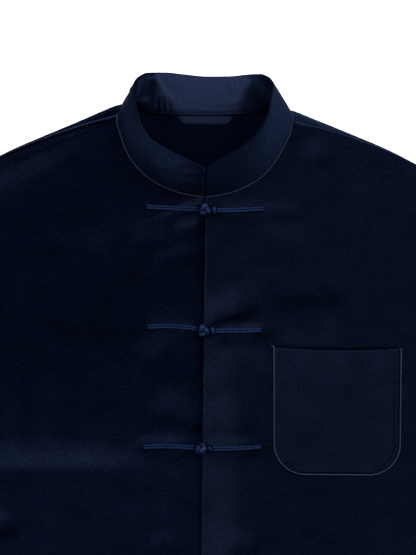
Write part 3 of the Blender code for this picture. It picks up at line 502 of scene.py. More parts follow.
def shellPiece(name, outer, inner, weave, finish, inside=None, hem=None, fields=None):  # closed cloth
    rows, columns = outer.shape[:2]
    quads, ring = gridFaces(rows, columns)
    far = rows * columns
    after = np.roll(ring, -1)
    rim = np.stack((after, ring, ring + far, after + far), -1)
    faces = np.concatenate((quads, quads[:, ::-1] + far, rim))
    points = np.concatenate((outer.reshape(-1, 3), inner.reshape(-1, 3)))
    a, b, c, d = (points[faces[:, k]] for k in range(4))
    volume = (np.cross(a, b) * c).sum() + (np.cross(a, c) * d).sum()
    if volume < 0:
        faces = faces[:, ::-1]
    weave = np.tile(weave.reshape(-1, 2), (2, 1))
    onBoth = {}
    for title, values in (fields or {}).items():  # one field for both faces, or one for each
        outerInner = values if isinstance(values, tuple) else (values, values)
        onBoth[title] = np.concatenate([face.ravel() for face in outerInner])
    if inside is None:
        return addPiece(name, points, faces, weave, [finish], fields=onBoth)
    fromTop = np.arange(rows - 1)[::-1, None]
    isInside = (fromTop >= hem[None, :-1]).astype(int).ravel()  # the hem's rows keep the outer finish
    marks = np.concatenate((np.zeros(len(quads), int), isInside, np.zeros(len(rim), int)))
    return addPiece(name, points, faces, weave, [finish, inside], marks.tolist(), onBoth)


def sheetArea(outer):  # area of one face of a grid, as cut
    a, b, c, d = outer[:-1, :-1], outer[:-1, 1:], outer[1:, :-1], outer[1:, 1:]
    first = np.linalg.norm(np.cross(b - a, c - a), axis=-1).sum() / 2
    return float(first + np.linalg.norm(np.cross(b - d, c - d), axis=-1).sum() / 2)


tube = {"caps": (0.985, 0.87, 0.6, 0.3), "steep": 0.9, "crown": 0.72, "weaveRound": 0.008, "thinSides": 10}
upward = np.array((0.0, 0.0, 1.0))


def tubeParts(points, radii, sides=12, middle=None, dark=0.0):  # swept round cord with rounded ends, with painted shade on the sides turned away from its crown
    points = np.asarray(points, float)
    radii = np.broadcast_to(np.asarray(radii, float), (len(points),))
    first, last = unit(points[0] - points[1]), unit(points[-1] - points[-2])
    caps = np.array(tube["caps"])
    narrow = np.sqrt(1 - caps ** 2)
    head = points[0] + first * (caps * radii[0])[:, None]
    tail = points[-1] + last * (caps[::-1] * radii[-1])[:, None]
    points = np.concatenate((head, points, tail))
    radii = np.concatenate((narrow * radii[0], radii, narrow[::-1] * radii[-1]))
    run = unit(np.gradient(points, axis=0))
    normal = np.cross(run[0], upward if abs(run[0][2]) < tube["steep"] else np.array((1.0, 0.0, 0.0)))
    rings, paintedshade = [], []
    turns = np.linspace(0, 2 * math.pi, sides, endpoint=False)
    for k in range(len(points)):
        normal = unit(normal - run[k] * normal.dot(run[k]))
        ring = np.cos(turns)[:, None] * normal + np.sin(turns)[:, None] * np.cross(run[k], normal)
        rings.append(points[k] + ring * radii[k])
        # painted shade: darker away from the top, or away from the middle when one is given, and at least
        # dark everywhere
        up = upward if middle is None else unit(points[k] - middle)
        paintedshade.append(np.maximum(ease((tube["crown"] - ring @ up) / tube["crown"]), dark))
    verts = np.concatenate(rings)
    index = np.arange(len(verts)).reshape(len(points), sides)
    after = np.roll(index, -1, axis=1)
    quads = np.stack((index[:-1], after[:-1], after[1:], index[1:]), -1).reshape(-1, 4)
    faces = [list(quad) for quad in quads] + [list(index[0][::-1]), list(index[-1])]
    around = np.tile(turns / (2 * math.pi) * tube["weaveRound"], len(points))
    weave = np.stack((np.repeat(lengthAlong(points), sides), around), -1)
    return verts, faces, weave, np.concatenate(paintedshade)


def joinedPiece(name, parts, finishes):  # several swept parts in one object, each with its finish
    verts, faces, weave, paintedshade, marks, count = [], [], [], [], [], 0
    for partVerts, partFaces, partWeave, partHollow, finish in parts:
        verts.append(partVerts)
        weave.append(partWeave)
        paintedshade.append(partHollow)
        faces += [[index + count for index in face] for face in partFaces]
        marks += [finishes.index(finish)] * len(partFaces)
        count += len(partVerts)
    fields = {"paintedshade": np.concatenate(paintedshade)}
    return addPiece(name, np.concatenate(verts), faces, np.concatenate(weave), finishes, marks, fields)


# body panels

def brokenEdge(table, split, end, share):  # a curve, then straight to an end
    share = np.asarray(share, float)
    upper = along(table, np.minimum(share / split, 1.0))
    down = np.clip((share - split) / (1 - split), 0, 1)[..., None]
    return np.where(down > 0, mix(np.array(table[-1][1:]), np.array(end), down), upper)


def outerEdge(share):  # armhole, then side seam
    return brokenEdge(armhole, body["underarmShare"], (body["hemHalf"], body["hemSideY"]), share)


def frontEdge(share):  # neckline, then centre front edge
    return brokenEdge(neckline, body["neckShare"], (cloth["seam"] / 2, body["hemY"]), share)


def backMiddle(share):
    top = shoulderLine[0][1] - body["yokeInset"]
    return np.stack((np.zeros_like(share), mix(top, body["hemY"], np.asarray(share, float))), -1)


def yokeLine(x):
    return np.stack((x, along(shoulderLine, x)[..., 0] - body["yokeInset"]), -1)


def hemLine(share):
    return np.stack((body["hemHalf"] * share, mix(body["hemY"], body["hemSideY"], share ** 2)), -1)


def patchGrid(top, foot, inner, outer, across, down):
    zero, one = np.array(0.0), np.array(1.0)
    a, d = across[None, :, None], down[:, None, None]
    corners = mix(mix(top(zero), top(one), a), mix(foot(zero), foot(one), a), d)
    rails = mix(top(across)[None], foot(across)[None], d)
    return rails + mix(inner(down)[:, None], outer(down)[:, None], a) - corners


def bodyShares(neckRows, chestRows, skirtRows):
    neck = np.linspace(0, body["neckShare"], neckRows + 1)
    chest = np.linspace(body["neckShare"], body["underarmShare"], chestRows + 1)
    return np.concatenate((neck, chest[1:], np.linspace(body["underarmShare"], 1, skirtRows + 1)[1:]))


def rolledPlan(plan, shares, turnCount):  # a panel's plan with its side seam's roll, and that roll
    turns, edge = np.linspace(math.pi / 2, 0, turnCount), outerEdge(shares)
    turnX = edge[:, :1] - (laid["edge"] - cloth["seam"] / 2) * turns[None] / (math.pi / 2)
    rolls = ease((shares - body["underarmShare"] + body["underarmBlend"]) / body["underarmBlend"])[:, None]
    flat = np.concatenate((plan, np.stack((turnX, np.broadcast_to(edge[:, 1:], turnX.shape)), -1)), 1)
    return flat, {"turns": turns, "edge": edge, "x": turnX, "share": rolls}


def rolledPly(flat, roll, z, depth, isUpper):  # one face of a panel, its last columns on the roll
    turns, edge, turnX, rolls = roll.values()
    x, first = flat[..., 0].copy(), flat.shape[1] - len(turns)
    inset, height = rolledEdge(turns[None], depth, isUpper)
    if isUpper:
        height = height - settleDepth(turnX, edge[:, 1:] + 0 * turnX) * np.sin(turns)[None]
    x[:, first:] = mix(turnX, edge[:, :1] - inset, rolls)
    z[:, first:] = mix(z[:, first:], height + 0 * turnX, rolls)
    return np.stack((x, flat[..., 1], z), -1)


def velvetPanel(name, node, layers, weave, finish, fields=None):
    piece = shellPiece(name, askew(layers[0]), askew(layers[1]), weave, finish, fields=fields)
    standsFor(node)
    return piece, sheetArea(layers[0])


sideFinish = {-1: "velvetRight", 1: "velvetLeft"}
pocket = {"x": 0.1345, "top": -0.2335, "width": 0.125, "depth": 0.1255, "corner": 0.0300,
          "cornerRise": 0.0300, "mouthSag": 0.0025, "mouthGape": 0.0014, "mouthEnd": 1.02, "mouthFade": 0.06,
          "lean": 0.0012, "lift": 0.4, "rimShare": 0.97, "flat": (0.125, 0.1255), "grooveBelow": 0.0022,
          "grooveDepth": 0.0011, "grooveWidth": 0.0036, "stitchIn": 0.0042, "stitchDepth": (0.00004, 0.00020),
          "stitchWidth": 0.0009, "sideShares": (0.0, 0.003, 0.008, 0.014, 0.02), "nearSide": (0.90, 0.972, 8),
          "middleShares": (-0.88, 0.88, 60), "mouthRows": (0.0, 0.0004, 0.001, 0.0018), "rowStart": 0.0035,
          "rows": 60, "cornerRows": 30, "weaveShift": 1.0}
front = {"yokeRows": 26, "neckRows": 44, "chestRows": 104, "skirtRows": 140, "nearColumns": 34, "columns": 62,
         "edgeColumns": (0.0, 0.00025, 0.0006, 0.0011, 0.0017, 0.0024, 0.0033, 0.0046, 0.0065),
         "nearStart": 0.0088, "near": 0.076, "turns": 8, "edgeRound": 0.0024, "edgeThin": 0.0002,
         "freeOver": 0.012, "seamGroove": 0.0010, "seamWidth": 0.0035, "ridge": {-1: 0.0006, 1: 0.0003},
         "ridgeAway": 0.0014, "ridgeWidth": 0.0014, "lifted": {-1: -0.0005, 1: 0.0}, "liftWidth": 0.005,
         "edgeRise": {-1: 0.0015, 1: 0.0}, "riseWidth": 0.042, "edgeAway": 0.0008, "edgeWidth": 0.0005,
         "hemLine": 0.030, "hemLineDepth": 0.0004, "hemLineWidth": 0.004, "flat": (0.293, 0.712)}


def frontColumns():
    half = body["hemHalf"]
    near = np.array(front["edgeColumns"]) / half
    middle = np.linspace(front["nearStart"], front["near"], front["nearColumns"], endpoint=False) / half
    rest = np.linspace(front["near"] / half, 1 - laid["edge"] / half, front["columns"])
    return np.concatenate((near, middle, rest))


def mouthGroove(x, y):  # the front sinks along the pocket's mouth
    place = (x - pocket["x"]) / (pocket["width"] / 2)
    middle = pocket["top"] - pocket["mouthSag"] * (1 - place ** 2) - pocket["grooveBelow"]
    isMouth = ease((pocket["mouthEnd"] - np.abs(place)) / pocket["mouthFade"])
    return pocket["grooveDepth"] * swell(y - middle, pocket["grooveWidth"]) * isMouth


def frontRelief(side, shares, flat, roll):  # outer face's height, drop of its round edge
    relief = topHeight(flat[..., 0] * side, flat[..., 1])
    toEdge = distance(flat, frontEdge(shares)[:, None])
    isFree = ease((shares - body["neckShare"]) / front["freeOver"])[:, None]
    relief = relief + front["lifted"][side] * swell(toEdge, front["liftWidth"]) * isFree
    relief = relief + front["edgeRise"][side] * swell(toEdge, front["riseWidth"]) * isFree
    toArm = distance(flat, roll["edge"][:, None])
    relief = relief - front["seamGroove"] * swell(toArm, front["seamWidth"]) * (1 - roll["share"])
    toHem = flat[..., 1] - body["hemY"]
    relief = relief - front["hemLineDepth"] * swell(toHem - front["hemLine"], front["hemLineWidth"])
    if side > 0:
        relief = relief - mouthGroove(flat[..., 0], flat[..., 1])
    drop = np.clip(1 - toEdge / front["edgeRound"], 0, 1)
    return relief, (cloth["velvet"] - front["edgeThin"]) * (1 - np.sqrt(1 - drop ** 2)) * isFree


def addFront(name, side, node):
    across, shares = frontColumns(), bodyShares(front["neckRows"], front["chestRows"], front["skirtRows"])
    neckX, armX = neckline[0][1], armhole[0][1]

    def yokeTop(share):
        return yokeLine(mix(neckX, armX, share))

    plan = patchGrid(yokeTop, hemLine, frontEdge, outerEdge, across, shares)
    flat, roll = rolledPlan(plan, shares, front["turns"])
    relief, rounding = frontRelief(side, shares, flat, roll)
    # from the shoulder seam over the roll to the yoke line
    down = np.linspace(0, 1, front["yokeRows"], endpoint=False)[:, None]
    footX = flat[0, :, 0][None]
    seamX = mix(body["neckPointX"], body["shoulderTipX"], (footX - neckX) / (armX - neckX))
    yokeX = mix(seamX, footX, down)
    place = along(shoulderLine, yokeX)
    reach = place[..., 1] + cloth["shoulderGap"]
    gone = mix(reach, body["yokeInset"], down) - reach
    ridge = front["ridge"][side] * swell(gone - front["ridgeAway"], front["ridgeWidth"])
    wrap = mix(reach, body["yokeInset"] + laid["edge"] * (math.pi / 2 - 1), down)
    layers = []
    for depth in (0.0, cloth["velvet"]):
        lower = rolledPly(flat, roll, relief - (depth if depth else rounding), depth, True)
        lower[..., 0] *= side
        inset, height = wrappedEdge(wrap, depth)
        height = height + (lower[0, :, 2] - (topPly - depth))[None] * ease(down) + ridge
        layers.append(np.concatenate((np.stack((side * yokeX, place[..., 0] - inset, height), -1), lower)))
    weave = layers[0][..., :2]
    # painted highlight: a thin lit line just below the shoulder seam, carried in the edge attribute
    paintedSheen = np.concatenate((swell(gone - front["edgeAway"], front["edgeWidth"]), np.zeros(lower.shape[:2])))
    paintedSheen = paintedSheen + paintedPatchLight(paintedPatches, weave[..., 0], weave[..., 1])
    return velvetPanel(name, node, layers, weave, sideFinish[side], {"edge": paintedSheen})


back = {"wrapRows": 16, "neckRows": 14, "chestRows": 20, "skirtRows": 44, "turns": 8, "strip": 0.9,
        "stripOver": 0.002, "stations": ((0.0, 0.054, 10), (0.058, 0.092, 18)), "outerStart": 0.097,
        "outerColumns": 34, "flat": (0.586, 0.730)}


def addBack(name):
    armX = armhole[0][1]
    outer = np.linspace(back["outerStart"], (1 - laid["edge"] / body["hemHalf"]) * armX, back["outerColumns"])
    stations = np.concatenate([np.linspace(*stretch) for stretch in back["stations"]] + [outer])
    shares = bodyShares(back["neckRows"], back["chestRows"], back["skirtRows"])

    def yokeTop(share):
        return yokeLine(armX * share)

    plan = patchGrid(yokeTop, hemLine, backMiddle, outerEdge, stations / armX, shares)
    flat, roll = rolledPlan(plan, shares, back["turns"])
    down = np.linspace(0, 1, back["wrapRows"], endpoint=False)[:, None]
    wrapX = flat[0, :, 0][None] * mix(body["shoulderTipX"] / armX, 1.0, down)
    place = along(shoulderLine, wrapX)
    reach = mix(place[..., 1], -body["yokeInset"] - laid["edge"] * (math.pi / 2 - 1), down)
    layers = []
    for depth in (0.0, cloth["velvet"]):
        lower = rolledPly(flat, roll, np.full(flat.shape[:2], depth), depth, False)
        inset, height = wrappedEdge(reach, depth)
        half = np.concatenate((np.stack((wrapX, place[..., 0] - inset, height), -1), lower))
        mirror = half[:, :0:-1] * np.array((-1.0, 1.0, 1.0))
        layers.append(np.concatenate((mirror, half), 1))
    light = np.concatenate((back["strip"] * ease(reach / back["stripOver"]), np.zeros(lower.shape[:2])))
    paintedSheen = np.concatenate((0 * light[:, :0:-1], light), 1)  # painted highlight on the strip over the wearer's left shoulder
    return velvetPanel(name, "back", layers, layers[0][..., :2], "velvetBack", {"edge": paintedSheen})


sleeve = {"upper": {"columns": 70, "rows": 150, "flat": (0.275, 0.625)},
          "under": {"columns": 24, "rows": 60, "flat": (0.275, 0.625)}, "turns": 8, "width": 0.2,
          "headRise": 0.0009, "headAway": 0.009, "headWidth": 0.007, "cuffLine": 0.028}


def armholeSeam(share):
    first = mix(np.array(overarm[0][1:]), np.array(armhole[0][1:]), (share / body["yokeShare"])[..., None])
    rest = along(armhole, np.clip((share - body["yokeShare"]) / (1 - body["yokeShare"]), 0, 1))
    return np.where((share < body["yokeShare"])[..., None], first, rest)


def sleevePlan(across, down):
    over, under = along(overarm, down)[:, None], along(underarm, down)[:, None]
    point = mix(over, under, across[None, :, None])
    chord = mix(np.array(overarm[0][1:]), np.array(underarm[0][1:]), across[:, None])
    seam = armholeSeam(across) - chord
    return point + seam[None] * ((1 - down) ** 3)[:, None, None]


def sleeveRelief(x, y, away, toCuff):  # height of the upper piece's outer face
    relief = topHeight(x, y) - front["seamGroove"] * swell(away, front["seamWidth"])
    relief = relief + sleeve["headRise"] * swell(away - sleeve["headAway"], sleeve["headWidth"])
    return relief - front["hemLineDepth"] * swell(toCuff - sleeve["cuffLine"], front["hemLineWidth"])


def addSleeve(name, side, ply, node):
    size, isUpper = sleeve[ply], ply == "upper"
    turns = np.linspace(math.pi / 2, 0, sleeve["turns"])
    middle = np.linspace(body["yokeShare"], 1 - laid["edge"] / sleeve["width"], size["columns"])
    across = np.concatenate((np.zeros(len(turns)), middle, np.ones(len(turns))))
    turnOf = np.concatenate((turns[::-1], np.full(len(middle), math.pi / 2), turns))
    down = np.linspace(0, 1, size["rows"])
    plan = sleevePlan(across, down)
    plan[..., 0] += cloth["seam"] * (1 - down)[:, None]
    inward = unit(sleevePlan(1 - across, down) - plan)
    isTurn = np.ones(len(across), bool)
    isTurn[len(turns):-len(turns)] = False
    away, toCuff = distance(plan, plan[:1]), distance(plan, plan[-1:])
    layers = []
    for depth in (0.0, cloth["velvet"]):
        inset, height = rolledEdge(turnOf[None], depth, isUpper)
        point = plan + inward * np.where(isTurn, inset, 0.0)[..., None]
        x, y = point[..., 0], point[..., 1]
        flatZ = sleeveRelief(x * side, y, away, toCuff) - depth if isUpper else np.full(x.shape, depth)
        if isUpper:
            height = height - settleDepth(x, y) * np.sin(turnOf)[None]
        z = np.where(isTurn[None], height + 0 * flatZ, flatZ)
        layers.append(np.stack((side * x, y, z), -1))
    reach = lengthAlong(layers[0][len(down) // 2])
    weave = np.stack((np.broadcast_to(reach, plan.shape[:2]), away), -1)
    return velvetPanel(name, node, layers, weave, sideFinish[side])


backPiece, backArea = addBack("cloth_back")
for side, hand in ((-1, "right"), (1, "left")):
    piece, area = addFront(f"cloth_front_{hand}", side, f"front_{hand}")
    for ply, under in (("under", []), ("upper", [f"cloth_sleeve_{hand}_under"])):
        piece, area = addSleeve(f"cloth_sleeve_{hand}_{ply}", side, ply, f"sleeve_{hand}_{ply}")
print("stage: body and sleeves")


# collar, its piping and the hanger tab

collarRows = (  # share of the seam, seam x, y, z, top x, y, z
    (-1.000, -0.0006, -0.0819, 0.0090, -0.0004, -0.0556, 0.0345),
    (-0.907, -0.0210, -0.0788, 0.0090, -0.0177, -0.0474, 0.0335),
    (-0.794, -0.0442, -0.0704, 0.0090, -0.0382, -0.0375, 0.0335),
    (-0.690, -0.0630, -0.0570, 0.0090, -0.0556, -0.0254, 0.0340),
    (-0.588, -0.0766, -0.0386, 0.0090, -0.0659, -0.0073, 0.0340),
    (-0.485, -0.0848, -0.0160, 0.0090, -0.0704, 0.0134, 0.0325),
    (-0.450, -0.0866, -0.0092, 0.0090, -0.0713, 0.0206, 0.0300),
    (-0.396, -0.0848, 0.0026, 0.0082, -0.0691, 0.0304, 0.0260),
    (-0.356, -0.0772, 0.0054, 0.0064, -0.0640, 0.0358, 0.0230),
    (-0.321, -0.0694, 0.0038, 0.0050, -0.0579, 0.0386, 0.0200),
    (-0.227, -0.0494, -0.0004, 0.0038, -0.0410, 0.0391, 0.0185),
    (-0.116, -0.0255, -0.0014, 0.0036, -0.0211, 0.0374, 0.0180),
    (0.000, 0.0000, -0.0016, 0.0036, -0.0002, 0.0356, 0.0180),
    (0.145, 0.0310, -0.0003, 0.0036, 0.0237, 0.0361, 0.0180),
    (0.254, 0.0543, 0.0026, 0.0040, 0.0418, 0.0380, 0.0190),
    (0.320, 0.0684, 0.0054, 0.0050, 0.0534, 0.0386, 0.0200),
    (0.352, 0.0752, 0.0064, 0.0062, 0.0585, 0.0367, 0.0230),
    (0.379, 0.0808, 0.0060, 0.0076, 0.0625, 0.0338, 0.0260),
    (0.432, 0.0851, -0.0028, 0.0090, 0.0657, 0.0267, 0.0300),
    (0.493, 0.0824, -0.0181, 0.0090, 0.0638, 0.0138, 0.0330),
    (0.552, 0.0770, -0.0305, 0.0090, 0.0621, 0.0022, 0.0340),
    (0.668, 0.0641, -0.0519, 0.0090, 0.0531, -0.0182, 0.0340),
    (0.756, 0.0502, -0.0652, 0.0090, 0.0411, -0.0304, 0.0335),
    (0.870, 0.0281, -0.0763, 0.0090, 0.0230, -0.0429, 0.0335),
    (0.967, 0.0075, -0.0810, 0.0090, 0.0068, -0.0522, 0.0345),
    (1.000, 0.0006, -0.0819, 0.0090, 0.0016, -0.0556, 0.0345))
collarCreases = (  # run, rise, to run, rise, half width, height
    (-0.0430, 0.017, -0.0412, 0.004, 0.0012, -0.0004), (-0.0366, 0.016, -0.0352, 0.004, 0.0012, -0.0004),
    (-0.047, 0.041, -0.029, 0.006, 0.0040, 0.0006), (-0.084, 0.036, -0.080, 0.018, 0.0026, 0.0012),
    (-0.094, 0.030, -0.072, 0.022, 0.0026, -0.0010), (0.026, 0.040, 0.028, 0.024, 0.0015, 0.0004),
    (0.033, 0.040, 0.033, 0.026, 0.0014, 0.0004), (0.039, 0.039, 0.037, 0.028, 0.0014, 0.0003),
    (-0.022, 0.008, 0.016, 0.005, 0.0016, 0.0005), (0.000, 0.011, 0.030, 0.013, 0.0020, 0.0004),
    (-0.167, 0.029, -0.186, 0.035, 0.0024, -0.0006), (-0.183, 0.0245, -0.201, 0.030, 0.0028, -0.0010),
    (-0.155, 0.020, -0.183, 0.028, 0.0048, -0.0011), (-0.125, 0.033, -0.190, 0.035, 0.0085, -0.0013),
    (-0.098, 0.018, -0.170, 0.024, 0.0110, -0.0007), (-0.165, 0.012, -0.198, 0.018, 0.0060, -0.0009))
collar = {"shadows": {-1: (0.0160, 0.034, 0.020, 0.012), 1: (0.0205, 0.0245, 0.016, 0.007)},
          "wander": ((0.0022, 170, 2), (0.0012, 410, 1)), "mottle": 0.10, "mottleWaves": (260, 90),
          "height": 0.04, "creaseFade": 0.25, "bulgeHighlight": 0.0017, "bulgeMost": 1.3, "bulgeRun": -0.085,
          "crumpleLight": 0.75, "ridgeLift": 0.6, "ridgeLight": 2.2, "pleatLight": 0.45, "tuckDark": 0.35,
          "dipDark": 0.27, "bandLight": 0.2, "rimDark": 0.25, "rimWidth": 0.0016, "cornerRun": 0.056,
          "cornerOver": 0.008, "cornerRise": (0.012, 0.010), "cornerLight": 0.15, "cornerDark": 0.7,
          "darkOver": 0.012, "footLight": 2.0, "footWidth": 0.0009, "sewn": 0.005, "sewnDrop": 0.0003,
          "sewnThin": 0.75, "crown": 0.0015, "ends": (0.0, 0.0008, 0.002, 0.004, 0.007, 0.011),
          "endShare": 0.983, "columns": 300, "bandLevels": (0.0, 0.95, 24),
          "rimLevels": (0.965, 0.978, 0.988, 0.995, 1.0), "runRow": 12, "rimShare": 0.995,
          "flat": (0.44, 0.042), "corner": 0.10, "cornerShare": 0.030, "backFrom": 0.30, "backOver": 0.08,
          "hemRows": 6, "backHemRows": 3, "backShare": 0.36}
collarStrokes = {  # half width, then x, y, to x, y of each stroke of painted highlight or painted shade on the band
    "crumpleHighlights": (0.0014, ((-0.0666, 0.0307, -0.0684, 0.0168), (-0.0684, 0.0129, -0.0574, 0.0120),
                          (-0.0587, 0.0338, -0.0498, 0.0349), (-0.0621, 0.0149, -0.0581, 0.0149))),
    "ridgeHighlights": (0.0015, ((-0.0490, 0.0369, -0.0467, 0.0319), (-0.0467, 0.0319, -0.0417, 0.0243),
                        (-0.0417, 0.0243, -0.0333, 0.0144))),
    "pleatHighlights": (0.0011, ((-0.0390, 0.0150, -0.0376, 0.0030), (-0.0442, 0.0130, -0.0434, 0.0025),
                        (-0.0500, 0.0160, -0.0488, 0.0040))),
    "tuckShades": (0.0011, ((-0.0416, 0.0150, -0.0402, 0.0030), (-0.0358, 0.0142, -0.0344, 0.0030),
                       (-0.0470, 0.0120, -0.0462, 0.0025))),
    "dipShades": (0.0045, ((-0.0415, 0.0325, -0.0315, 0.0245),)),
    "band": (0.0090, ((0.0500, -0.0400, 0.0640, -0.0220),))}


def collarPoints(share, height):
    row = along(collarRows, share)
    point = mix(row[None, :, :3], row[None, :, 3:], height[..., None])
    point[..., 2] += collar["crown"] * np.sin(math.pi * np.clip(height, 0, 1))
    return point


def creaseHeight(run, rise):
    total = np.zeros_like(run)
    for *stroke, width, height in collarCreases:
        t, off = strokePlace(*stroke, run, rise)[1:]
        total += height * taper(t, collar["creaseFade"]) * swell(off, width)
    return total


def collarShadow(run, rise):  # the inside sinks into shadow where the band turns forward
    total = np.zeros_like(run)
    up = np.clip(rise / collar["height"], 0, 1)
    for side, (start, lean, footWidth, topWidth) in collar["shadows"].items():
        wander = sum(size * np.sin(pace * rise + turn * side) for size, pace, turn in collar["wander"])
        total += ease((side * run - start - lean * up - wander) / mix(footWidth, topWidth, up))
    foot, over = collar["cornerRise"]
    corner = ease((-run - collar["cornerRun"]) / collar["cornerOver"]) * ease((rise - foot) / over)
    waveRun, waveRise = collar["mottleWaves"]
    mottle = 1 - collar["mottle"] * (1 - np.sin(waveRun * run + waveRise * rise))
    return total * mottle * (1 - collar["cornerLight"] * corner)


def collarLight(run, rise, middle, creases, toTop, isBack):  # painted shadow, painted shade and painted highlight for the outer and the inner finish
    strokes = {kind: strokeLight(rows, middle[..., 0], middle[..., 1], width)
               for kind, (width, rows) in collarStrokes.items()}
    ridge = strokes["ridgeHighlights"]
    shadow = collarShadow(run, rise) * (1 - collar["crumpleLight"] * strokes["crumpleHighlights"])
    shadow = shadow * (1 - collar["ridgeLift"] * ridge) + collar["dipDark"] * strokes["dipShades"] * (1 - ridge)
    shadow = shadow * (1 - collar["pleatLight"] * strokes["pleatHighlights"]) + collar["tuckDark"] * strokes["tuckShades"]
    # painted highlight on bulges, on the band stroke, on the ridges and along the back's foot; painted shade
    # at the front rim's top and in the inner left corner
    bulgeHighlight = np.clip(-creases / collar["bulgeHighlight"], 0, collar["bulgeMost"]) * (run < collar["bulgeRun"])
    bulgeHighlight = bulgeHighlight + collar["bandLight"] * strokes["band"]
    corner = ease((-run - collar["cornerRun"] + collar["cornerOver"]) / collar["darkOver"])
    foot = collar["footLight"] * isBack[None] * swell(rise, collar["footWidth"])
    rim = collar["rimDark"] * swell(toTop, collar["rimWidth"]) * (1 - isBack)[None]
    inside = collar["ridgeLight"] * ridge - collar["cornerDark"] * corner + foot
    return {"paintedshade": shadow, "edge": (bulgeHighlight - rim, inside - rim)}


def addCollar(name):
    ends, last = 1 - np.array(collar["ends"]), collar["endShare"]
    share = np.concatenate((-ends, np.linspace(-last, last, collar["columns"]), ends[::-1]))
    level = np.concatenate((np.linspace(*collar["bandLevels"]), collar["rimLevels"]))
    into = np.clip((np.abs(share) - 1 + collar["cornerShare"]) / collar["cornerShare"], 0, 1)
    height = level[:, None] * (1 - collar["corner"] * (1 - np.sqrt(1 - into ** 2)))[None]
    middle = collarPoints(share, height)
    normal = unit(np.cross(np.gradient(middle, axis=1), np.gradient(middle, axis=0)))
    run = lengthAlong(middle[collar["runRow"]])
    run = run - np.interp(0.0, share, run) + 0 * height
    rise = distance(middle, middle[:1])
    creases = creaseHeight(run, rise)
    middle = middle + normal * creases[..., None]
    toTop = distance(middle, middle[-1:])
    toEnd = np.minimum(distance(middle, middle[:, :1]), distance(middle, middle[:, -1:]))
    half = cloth["collar"] / 2
    rounded = np.clip(1 - np.minimum(toTop, toEnd) / half, 0, collar["rimShare"])
    thick = (half * np.sqrt(1 - rounded ** 2))[..., None]
    isBack = 1 - ease((np.abs(share) - collar["backFrom"]) / collar["backOver"])
    sewn = isBack[None] * (1 - ease(rise / collar["sewn"]))  # the back's inner face comes down to the seam
    middle[..., 2] -= collar["sewnDrop"] * sewn
    outer = middle - normal * thick
    inner = middle + normal * thick * (1 - collar["sewnThin"] * sewn)[..., None]
    hem = np.where(np.abs(share) < collar["backShare"], collar["backHemRows"], collar["hemRows"])
    fields = collarLight(run, rise, middle, creases, toTop, isBack)
    piece = shellPiece(name, outer, inner, np.stack((run, rise), -1), "collar", "collarInside", hem, fields)
    standsFor("collar")
    return piece, sheetArea(middle)


def cordPiece(name, points, radius, node):  # piping along a seam
    piece = joinedPiece(name, [(*tubeParts(points, radius, tube["thinSides"]), "piping")], ["piping"])
    standsFor(node)
    return piece


piping = {"radius": 0.00074, "start": 0.42, "end": 0.995, "steps": 110, "offset": 1.2, "sunk": 0.8}


def addNeckPiping(name, side, node):
    share = side * np.linspace(piping["start"], piping["end"], piping["steps"])
    seam = collarPoints(share, np.zeros((1, len(share))))[0]
    run = unit(np.gradient(seam[:, :2], axis=0))
    offset = cloth["collar"] / 2 + piping["radius"] * piping["offset"]
    x, y = seam[:, 0] - side * run[:, 1] * offset, seam[:, 1] + side * run[:, 0] * offset
    points = np.stack((x, y, topHeight(x, y) + piping["radius"] * piping["sunk"]), -1)
    cordPiece(name, points, piping["radius"], node)


tab = {"x": -0.0004, "topWidth": 0.0575, "footWidth": 0.0445, "drop": 0.0082, "top": -0.0030, "columns": 40,
       "rows": 14, "rimAcross": 0.06, "rimDown": 0.25, "rimThin": 0.25, "lift": 0.5, "flat": (0.0575, 0.012)}


def addTab(name):
    across, down = np.linspace(-1, 1, tab["columns"])[None], np.linspace(0, 1, tab["rows"])[:, None]
    x = tab["x"] + across * mix(tab["topWidth"], tab["footWidth"], down) / 2
    y = tab["top"] - tab["drop"] * down + 0 * across
    base = cloth["velvet"] + cloth["laidOn"] * tab["lift"]
    rim = np.minimum(np.minimum((1 - np.abs(across)) / tab["rimAcross"], (1 - down) / tab["rimDown"]), 1)
    outer = np.stack((x, y, base + cloth["tab"] * mix(tab["rimThin"], 1.0, np.sqrt(rim))), -1)
    inner = np.stack((x, y, np.full_like(x, base)), -1)
    piece = shellPiece(name, outer, inner, np.stack((y, x), -1), "tab")
    standsFor("neck_tab")
    return piece, sheetArea(outer)


collarPiece, collarArea = addCollar("cloth_collar")
addNeckPiping("neck_cord_right", -1, "neck_piping_right")
addNeckPiping("neck_cord_left", 1, "neck_piping_left")
tabPiece, tabArea = addTab("cloth_neck_tab")
print("stage: collar")


# patch pocket

pocketStraight = pocket["depth"] - pocket["cornerRise"]  # length of its sides above the round corners
pocketCord = {"radius": 0.00075, "hook": 0.0024, "hookX": (1.0, 0.3), "hookUp": (0.55, 0.45), "sunk": 0.9,
              "sideSteps": 60, "cornerSteps": 24, "footSteps": 40}


def pocketLean(across, down):  # the inner side moves outwards towards the foot
    return pocket["lean"] * (1 - across) / 2 * np.minimum(down / pocketStraight, 1.0)


